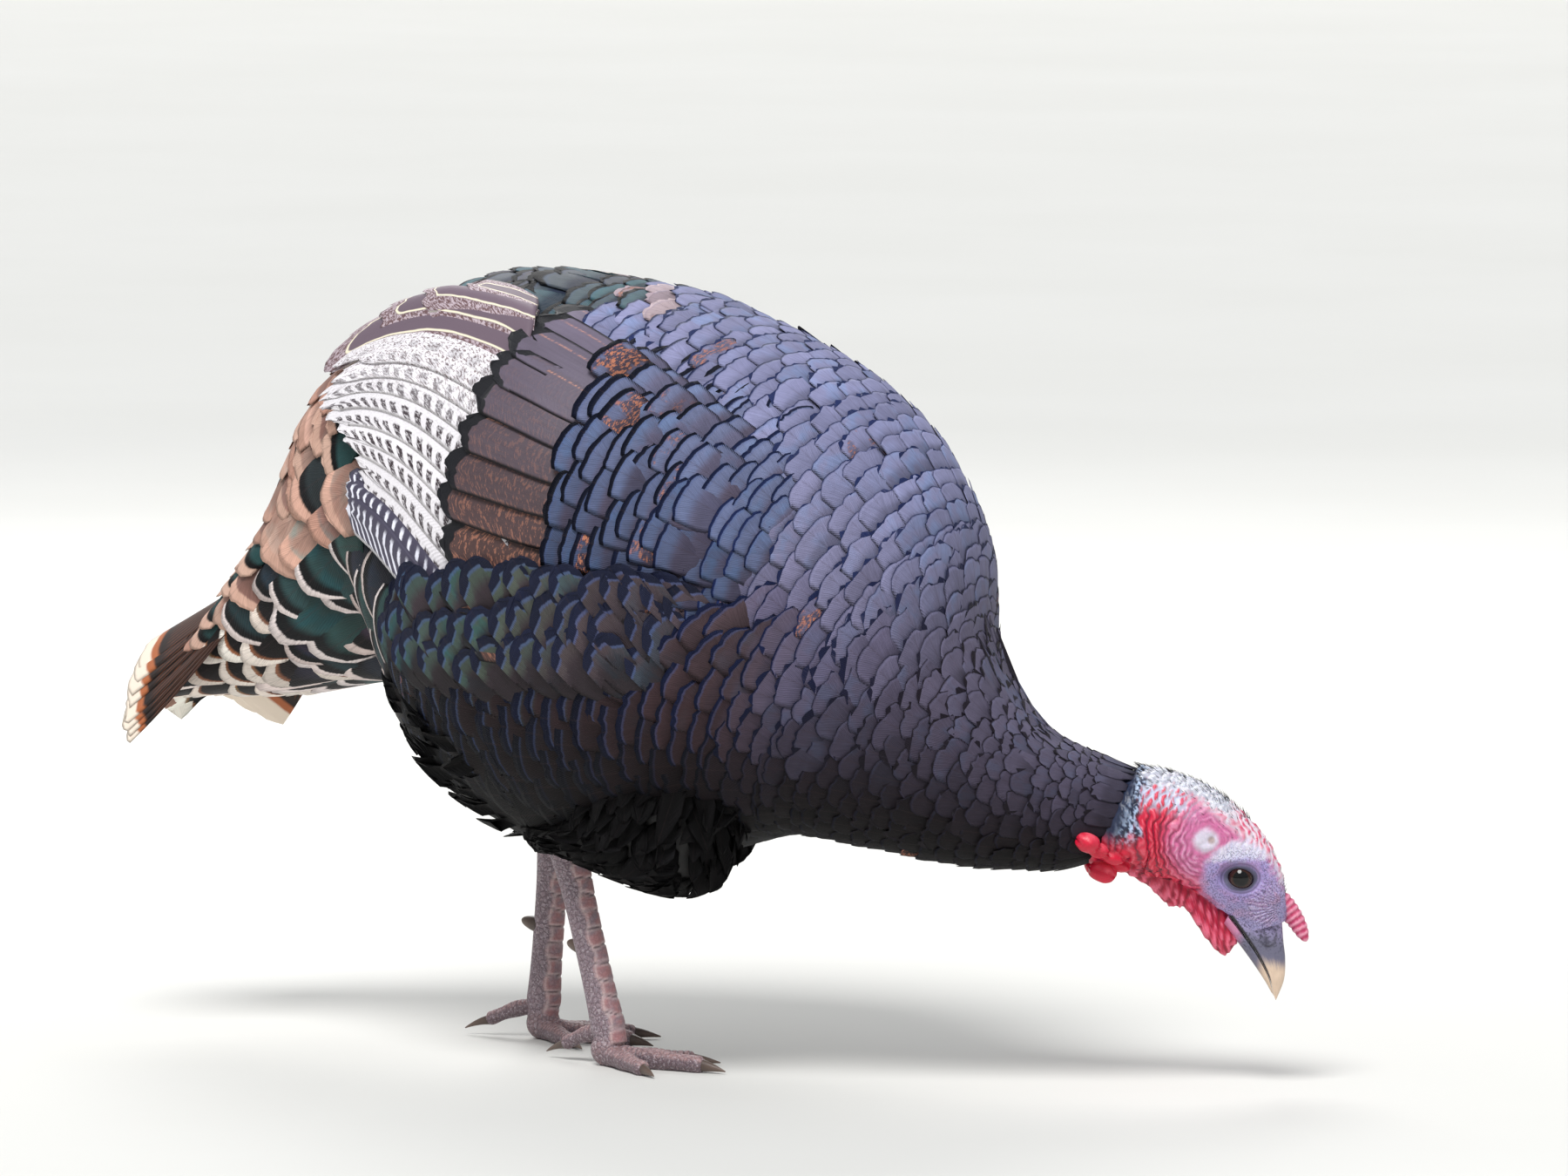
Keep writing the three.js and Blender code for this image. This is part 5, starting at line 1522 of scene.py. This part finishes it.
def toePath(leg, name, count):  # from the foot's middle out to the root of the claw
    turn, length, root, lift = toes[name]
    heading = math.radians(turn) * -leg["side"]
    out = np.array([math.cos(heading), math.sin(heading), 0.0])
    start = 1 if lift else 4
    spots = [(start, lift * 0.75 + root), (lerp(start, length, 0.5), lift * 0.6 + root * 0.86),
             (length, lift * 0.3 + root * 0.68)]
    rows = np.array([[leg["ankle"][0] + d * out[0], leg["ankle"][1] + d * out[1], z] for d, z in spots])
    path, _ = readRows(rows, np.linspace(0, 2, count))
    return path, root, out


def skinFinish():  # the shells' own colours, with pebbles, wetness and a net of scales where they say so
    look = Finish("bareSkin", Roughness=0.5, Specular_IOR_Level=0.45, Subsurface_Weight=0.08,
                  Subsurface_Scale=0.002)
    pebbled, wet, scaled = look.three("feel")
    place = look.place()
    cell = look.cells(place, 1150.0)
    gaps = look.ramp(cell, 0.42, 0.75)
    fine = look.noise(place, 900.0, 4.0, 0.6)
    slow = look.noise(place, 140.0, 3.0)
    colour = look.read("tint", 0)
    dots = look.times(look.times(gaps, pebbled), look.plus(0.25, look.times(slow, 0.9)))
    colour = look.blend(dots, colour, look.blend(0.8, colour, paint(70, 60, 96)))
    level = look.plus(0.78, look.times(fine, 0.44))
    colour = look.blend(1.0, colour, look.join(level, level, level), "MULTIPLY")
    net = look.cells(place, 330.0, "DISTANCE_TO_EDGE", 0, 0.85)
    seam = look.times(look.ramp(net, 0.13, 0.02), scaled)
    colour = look.blend(look.times(seam, 0.6), colour, paint(88, 70, 78))
    crust = look.times(look.ramp(look.noise(place, 700.0, 3.0, 0.7), 0.5, 0.66), scaled)
    colour = look.blend(look.times(crust, 0.55), colour, paint(204, 192, 198))
    look.colour(colour)
    height = look.times(look.minus(1.0, cell), look.times(pebbled, 0.7))
    height = look.plus(height, look.times(fine, 0.35))
    height = look.plus(height, look.times(look.ramp(net, 0.0, 0.25), look.times(scaled, 1.3)))
    look.bump(look.plus(height, look.times(slow, 0.3)), 0.55, 0.0006)
    look.roughness(look.minus(0.56, look.times(wet, 0.2)))
    return look.material


# Where shells met, the join's new points take the colour and feel of the skin on both sides, and the
# crease is eased by moving the points near it towards the middle of their neighbours.
def healJoins(mesh):
    n = len(mesh.vertices)
    fields = (("tint", "color", 4), ("feel", "vector", 3), ("kept", "vector", 3))
    read = {name: np.zeros(n * width, np.float32) for name, _, width in fields}
    for name, field, width in fields:
        mesh.attributes[name].data.foreach_get(field, read[name])
    known = read["kept"].reshape(n, 3)[:, 0] > 0.999
    place = np.zeros(n * 3, np.float32)
    mesh.vertices.foreach_get("co", place)
    parts = read["tint"].reshape(n, 4), read["feel"].reshape(n, 3), place.reshape(n, 3)
    value = np.hstack(parts).astype(float)
    ends = np.zeros(len(mesh.edges) * 2, np.int32)
    mesh.edges.foreach_get("vertices", ends)
    a, b = np.concatenate([ends.reshape(-1, 2), ends.reshape(-1, 2)[:, ::-1]]).T
    print("skin points", n, "new at joins", int((~known).sum()))
    near = (~known).astype(float)
    for _ in range(6):  # new points, ring by ring, from the neighbours already known
        use = known[b]
        share = np.bincount(a[use], minlength=n)
        total = np.stack([np.bincount(a[use], value[b[use], i], minlength=n) for i in range(7)], -1)
        fill = ~known & (share > 0)
        value[fill, :7] = total[fill] / share[fill, None]
        known = known | fill
    share = np.maximum(np.bincount(a, minlength=n), 1)
    for _ in range(3):  # how near a join each point is
        around = np.bincount(a, near[b], minlength=n) / share * 2.0
        near = np.maximum(near, 0.7 * np.maximum(near, around).clip(0, 1))
    near[near < 0.1] = 0
    for _ in range(4):
        middle = np.stack([np.bincount(a, value[b, i], minlength=n) for i in range(10)], -1) / share[:, None]
        value = value + (middle - value) * 0.5 * near[:, None]
    mesh.vertices.foreach_set("co", np.ascontiguousarray(value[:, 7:], np.float32).ravel())
    mesh.attributes["tint"].data.foreach_set("color", np.ascontiguousarray(value[:, :4], np.float32).ravel())
    feel = np.ascontiguousarray(value[:, 4:7], np.float32)
    mesh.attributes["feel"].data.foreach_set("vector", feel.ravel())
    mesh.attributes.remove(mesh.attributes["kept"])
    mesh.update()


def joinSkin():  # every shell of skin, joined where they meet into one closed skin
    made = []
    for i, (points, corners, lengths, tint, feel) in enumerate(skinShells):
        values = {"tint": tint, "feel": feel, "kept": np.ones((len(points), 3))}
        made.append(makePiece(f"skin{i}", points, corners, lengths, skinLook, None, values))
    whole = made[0]
    whole.name = "skin"
    shells = bpy.data.collections.new("shells")
    for part in made[1:]:
        shells.objects.link(part)
    joint = whole.modifiers.new("joined", "BOOLEAN")
    joint.operation, joint.solver = "UNION", "MANIFOLD"
    joint.operand_type, joint.collection = "COLLECTION", shells
    bpy.context.view_layer.objects.active = whole
    before = len(whole.data.polygons)
    with bpy.context.temp_override(object=whole, active_object=whole, selected_objects=[whole]):
        bpy.ops.object.modifier_apply(modifier="joined")
    print("skin faces", before, "to", len(whole.data.polygons))
    for part in made[1:]:
        bpy.data.objects.remove(part)
    bpy.data.collections.remove(shells)
    healJoins(whole.data)
    whole.data.shade_smooth()
    shown = ["rump", "trunk", "neck_lower", "neck_upper", "head", "snood", "dewlap"]
    shown += [f"caruncle_{a}_{b}" for a in sides for b in ("upper", "lower")]
    shown += [f"{part}_{a}" for a in sides for part in ("thigh", "shank", "foot")]
    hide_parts(*shown)


bristles = {  # on the nape, the crown and the throat
    "count": [480, 170, 90],
    "stations": [(12.5, 14.9), (14.9, 17.2), (12.8, 14.6)],
    "high": [(90, 26), (90, 34), (-88, 18)],  # degrees above the side, and their spread
    "length": [(3.0, 5.6), (1.8, 3.6), (3, 7)],
}


# Fine black hairs: thin cones of three sides, leaning back by the square of the way along.
def makeBristles():
    rng = np.random.default_rng(91)
    draw = lambda how, name: np.concatenate([how(*k, n) for k, n in zip(bristles[name], bristles["count"])])
    s = draw(rng.uniform, "stations")
    turn = np.radians(draw(rng.normal, "high"))
    count = len(s)
    length = draw(rng.uniform, "length")
    root = bodyPoint(s, turn, -0.9)
    along = unit(bodyPoint(s - 0.02, turn) - bodyPoint(s + 0.02, turn))
    around = bodyPoint(s, turn + 0.02) - bodyPoint(s, turn - 0.02)
    out = unit(np.cross(along, around))
    lean = rng.uniform(0.25, 0.75, count)
    way = unit(out * lean[:, None] + along * 0.8 + unit(around) * rng.normal(0, 0.25, count)[:, None])
    side = unit(np.cross(way, out))
    rise = np.cross(side, way)
    k = np.array([0.0, 0.35, 0.7, 1.0])[None, :, None]
    wide = 0.21 * (1 - 0.85 * k**2)
    spin = circle(3)[:, None]
    line = root[:, None] + way[:, None] * (k * length[:, None, None] * mm)
    line = line + along[:, None] * (k**2 * length[:, None, None] * 0.25 * mm)
    ring = side[:, None, None] * np.cos(spin) + rise[:, None, None] * np.sin(spin)
    points = line[:, :, None] + ring * wide[..., None] * mm
    corners, lengths = gridFaces(4, 3, closed=True, capped=True)
    one = turned(points[0].reshape(-1, 3), corners, lengths)
    every = (one[None, :] + np.arange(count)[:, None] * 12).ravel()
    look = Finish("hair", Roughness=0.45)
    look.colour(look.blend(look.noise(look.place(), 300.0), paint(14, 12, 14), paint(38, 34, 38)))
    uv = unwrapOf(s, turn)[:, None, :] + 0.0015 * np.linspace(-1, 1, 12)[None, :, None]
    makePiece("bristles", points.reshape(-1, 3), every, np.tile(lengths, count), look.material,
              {"OFBake": uv.reshape(-1, 2)})
    print("bristles", count)


skinLook = skinFinish()
bodySkin()
lidRings()
snoodSkin()
dewlapSkin()
caruncleSkin()
for label in sides:
    legSkin(legs[label])
    thighSkin(legs[label])
joinSkin()


# Adds a closed horn form: rings of points, how far along each is, and its dark hollows, painted shade.
def addTo(parts, points, along, hollow=0.0):
    rows, columns = points.shape[:2]
    corners, lengths = gridFaces(rows, columns, closed=True, capped=True)
    flatPoints = points.reshape(-1, 3)
    across = np.broadcast_to(np.linspace(0, 1, columns), (rows, columns))
    uv = np.stack([across, np.broadcast_to(along[:, None], (rows, columns))], -1).reshape(-1, 2)
    hollow = np.broadcast_to(hollow, (rows, columns)).reshape(-1, 1) * np.ones((1, 3))
    parts.append((flatPoints, turned(flatPoints, corners, lengths), lengths, uv, hollow))


def hornPiece(name, parts, finish, stands):  # the forms of one kind as one piece
    shifts = np.cumsum([0] + [len(part[0]) for part in parts[:-1]])
    corners = np.concatenate([part[1] + shift for part, shift in zip(parts, shifts)])
    join = lambda i: np.concatenate([part[i] for part in parts])
    makePiece(name, join(0), corners, join(2), finish, {"Along": join(3)}, {"hollow": join(4)},
              stands=stands)
    print(name, len(parts))


def eyeFinish():  # a black pupil in a dark brown iris, darker round its edge
    look = Finish("darkEye", Roughness=0.05, Specular_IOR_Level=0.45)
    spoke, off, _ = look.split(look.map("Along"))
    threads = look.grain(spoke, 60.0, off, 3.0, 0.0, 0.5, 2.0)
    iris = look.blend(threads, paint(26, 12, 8), paint(64, 32, 20))
    colour = look.blend(look.ramp(off, 0.17, 0.185), paint(2, 2, 2), iris)
    colour = look.blend(look.ramp(off, 0.27, 0.31), colour, paint(12, 8, 8))
    look.colour(colour)
    return look.material


# Each eyeball is a ball with a slight bulge in front, its pole turned out to the side.
def makeEyes():
    look = eyeFinish()
    polar = np.linspace(0.02, math.pi - 0.02, 40)[:, None]
    turn = circle(48)[None, :]
    for label, side in sides.items():
        bulge = head["eyeRadius"] + 0.25 * hill(polar, 0, 0.5) + 0 * turn
        x, y = np.sin(polar) * np.cos(turn) * bulge, np.sin(polar) * np.sin(turn) * bulge
        out = np.cos(polar) * bulge
        eyeF, eyeU, eyeW = head["eye"]
        points = toFrame(inHead(eyeF + x, eyeU + y, side * (eyeW + out)))
        parts = []
        addTo(parts, points, polar[:, 0] / math.pi)
        hornPiece(f"{label}Eye", parts, look, (f"eye_{label}",))


bill = {
    "ridge": [(20.2, -24), (21.2, -37.5), (22.3, -48), (21.6, -60), (17, -72)],
    "mouth": [(-10, -22), (-1.5, -33), (6, -44), (12.6, -57), (16, -69.5)],
    "keel": [(-13, -27.5), (-4.5, -39), (4.2, -51), (10.8, -61), (14.2, -67)],
    "half": [9.0, 8.2, 6.6, 4.4, 0.9],
}


# Half a bill: k from its root to its tip, turned from one edge of the mouth over its outer line to the
# other, by the sine of the turn.
def billForm(outer, inset, flip):
    k = np.linspace(0, 1, 80)
    rows = lambda pairs: readRows(np.array(pairs, float), 4 * k)[0]
    edge, inner = rows(outer), rows(bill["mouth"])
    inner = inner + (edge - inner) * inset
    half = readRows(np.array(bill["half"], float)[:, None], 4 * k)[0]
    turn = np.linspace(0, math.pi, 44)[None, :]
    deep = np.sin(turn) ** 0.8
    side = flip * half * np.cos(turn) * (1 - 0.12 * deep)
    f = inner[:, :1] + (edge - inner)[:, :1] * deep
    u = inner[:, 1:] + (edge - inner)[:, 1:] * deep
    hollow = np.zeros_like(f)
    if flip > 0:  # the nostrils: a slit under a swollen flap on each side, the slit and the flap's rim painted dark as shade
        away = np.hypot((f - 12.5) / 4.4, (u + 34.5) / 5.6)
        slit = hill(np.hypot((f - 11.0 + 0.25 * (u + 36)) / 1.2, (u + 36.5) / 3.2), 0, 1) * (np.abs(side) > 2)
        side = side + np.sign(side) * (1.2 * hill(away, 0.5, 0.45) - 1.6 * slit) * (np.abs(side) > 2)
        hollow = np.clip(slit + 0.8 * hill(away, 1.02, 0.13) * (np.abs(side) > 2), 0, 1)
    grain = wobble(np.stack([f, u, side], -1), 6, 71, 2) * 0.12
    return toFrame(inHead(f, u, side + np.sign(side) * grain)), k, hollow


def billFinish(name, lower):  # violet-grey at the root, cream at the tip, dark at the mouth's edge
    look = Finish(name, Roughness=0.4, Specular_IOR_Level=0.5, Coat_Weight=0.15, Coat_Roughness=0.2)
    across, along, _ = look.split(look.map("Along"))
    place = look.place()
    grain = look.grain(across, 30.0, along, 5.0, 0.0, 0.6, 4.0)
    fine = look.noise(place, 700.0, 3.0)
    rim = look.fromShaft(across)  # 1 at the mouth's edge
    worn = look.swayed(along, grain, 0.16)
    colour = look.blend(look.ramp(worn, 0.05, 0.35), paint(160, 148, 190), paint(104, 102, 124))
    spots = look.times(look.ramp(fine, 0.5, 0.6), look.ramp(along, 0.55, 0.25))
    colour = look.blend(look.times(spots, 0.75), colour, paint(62, 58, 80))
    colour = look.blend(look.ramp(worn, 0.5, 0.68), colour, paint(222, 196, 172))
    if lower:
        colour = look.blend(look.ramp(worn, 0.3, 0.12), colour, paint(206, 130, 168))
    reach = look.ramp(along, 0.95, 0.85) if lower else look.ramp(along, 0.9, 0.75)
    dark = look.times(look.ramp(rim, 0.955, 0.98), reach)
    colour = look.blend(dark, colour, paint(16, 14, 18) if lower else paint(24, 20, 28))
    streak = look.times(look.ramp(grain, 0.55, 0.7), look.ramp(along, 0.6, 0.8))
    colour = look.blend(look.times(streak, 0.4), colour, paint(120, 94, 78))
    # painted shade in the nostril slit and round its flap
    colour = look.blend(look.times(look.read("hollow", 2), 0.85), colour, paint(34, 30, 46))
    look.colour(colour)
    look.bump(look.plus(grain, look.times(fine, 0.6)), 0.3, 0.0006)
    return look.material


def makeBill():  # its two halves
    for name, outer, inset, flip, node in (
        ("upperBill", bill["ridge"], 0.0, 1, "bill_upper"),
        ("lowerBill", bill["keel"], 0.1, -1, "bill_lower"),
    ):
        points, along, hollow = billForm(outer, inset, flip)
        parts = []
        addTo(parts, points, along, hollow)
        hornPiece(name, parts, billFinish(name, flip < 0), (node,))


def clawFinish():  # dark horn, paler and streaked towards the tip
    look = Finish("wornHorn", Roughness=0.42, Specular_IOR_Level=0.5)
    across, along, _ = look.split(look.map("Along"))
    grain = look.grain(across, 20.0, along, 3.0, 0.0, 0.6, 4.0)
    pale = look.plus(look.times(along, 0.5), look.times(grain, 0.5))
    look.colour(look.blend(pale, paint(52, 42, 40), paint(120, 100, 88)))
    look.bump(grain, 0.4, 0.0005)
    return look.material


# Claws: rings along a line that bends down by 0.6 * k ^ 1.6; spurs: blunt cones on the shanks.
def makeClaws():
    look = clawFinish()
    for label in sides:
        leg, parts, stands = legs[label], [], []
        for name in toes:
            path, root, out = toePath(leg, name, 20)
            start = path[-1]
            k = np.linspace(0, 1, 26)
            reach = lerp(-2.5, clawLength, k)[:, None]
            line = start + out * reach
            line[:, 2] = start[2] * (1 - 0.6 * k**1.6)
            radius = lerp(root * 0.6, 0.35, k**1.2)
            side = np.broadcast_to(np.array([-out[1], out[0], 0.0]), line.shape)
            points = ringsAlong(line, radius * 0.85, radius, 18, side)
            points[..., 2] = np.maximum(points[..., 2], 0.0)
            addTo(parts, toFrame(points), k)
            stands.append(f"claw_{label}_{name}")
        hornPiece(f"{label}Claws", parts, look, stands)
        ankle, hock = np.array(leg["ankle"], float), np.array(leg["hock"], float)
        at = lerp(ankle, hock, 0.45)
        k = np.linspace(0, 1, 30)
        line = np.stack([at[0] - 5 - 13 * k, at[1] - leg["side"] * 2 + 0 * k, 67 + 2.5 * k], -1)
        radius = 4.8 * np.sqrt(np.maximum(0.01, 1 - k**1.7))
        parts = []
        addTo(parts, toFrame(ringsAlong(line, radius * 0.92, radius, 24)), k)
        hornPiece(f"{label}Spur", parts, look, (f"spur_{label}",))


makeEyes()
makeBill()
makeClaws()
makeBristles()
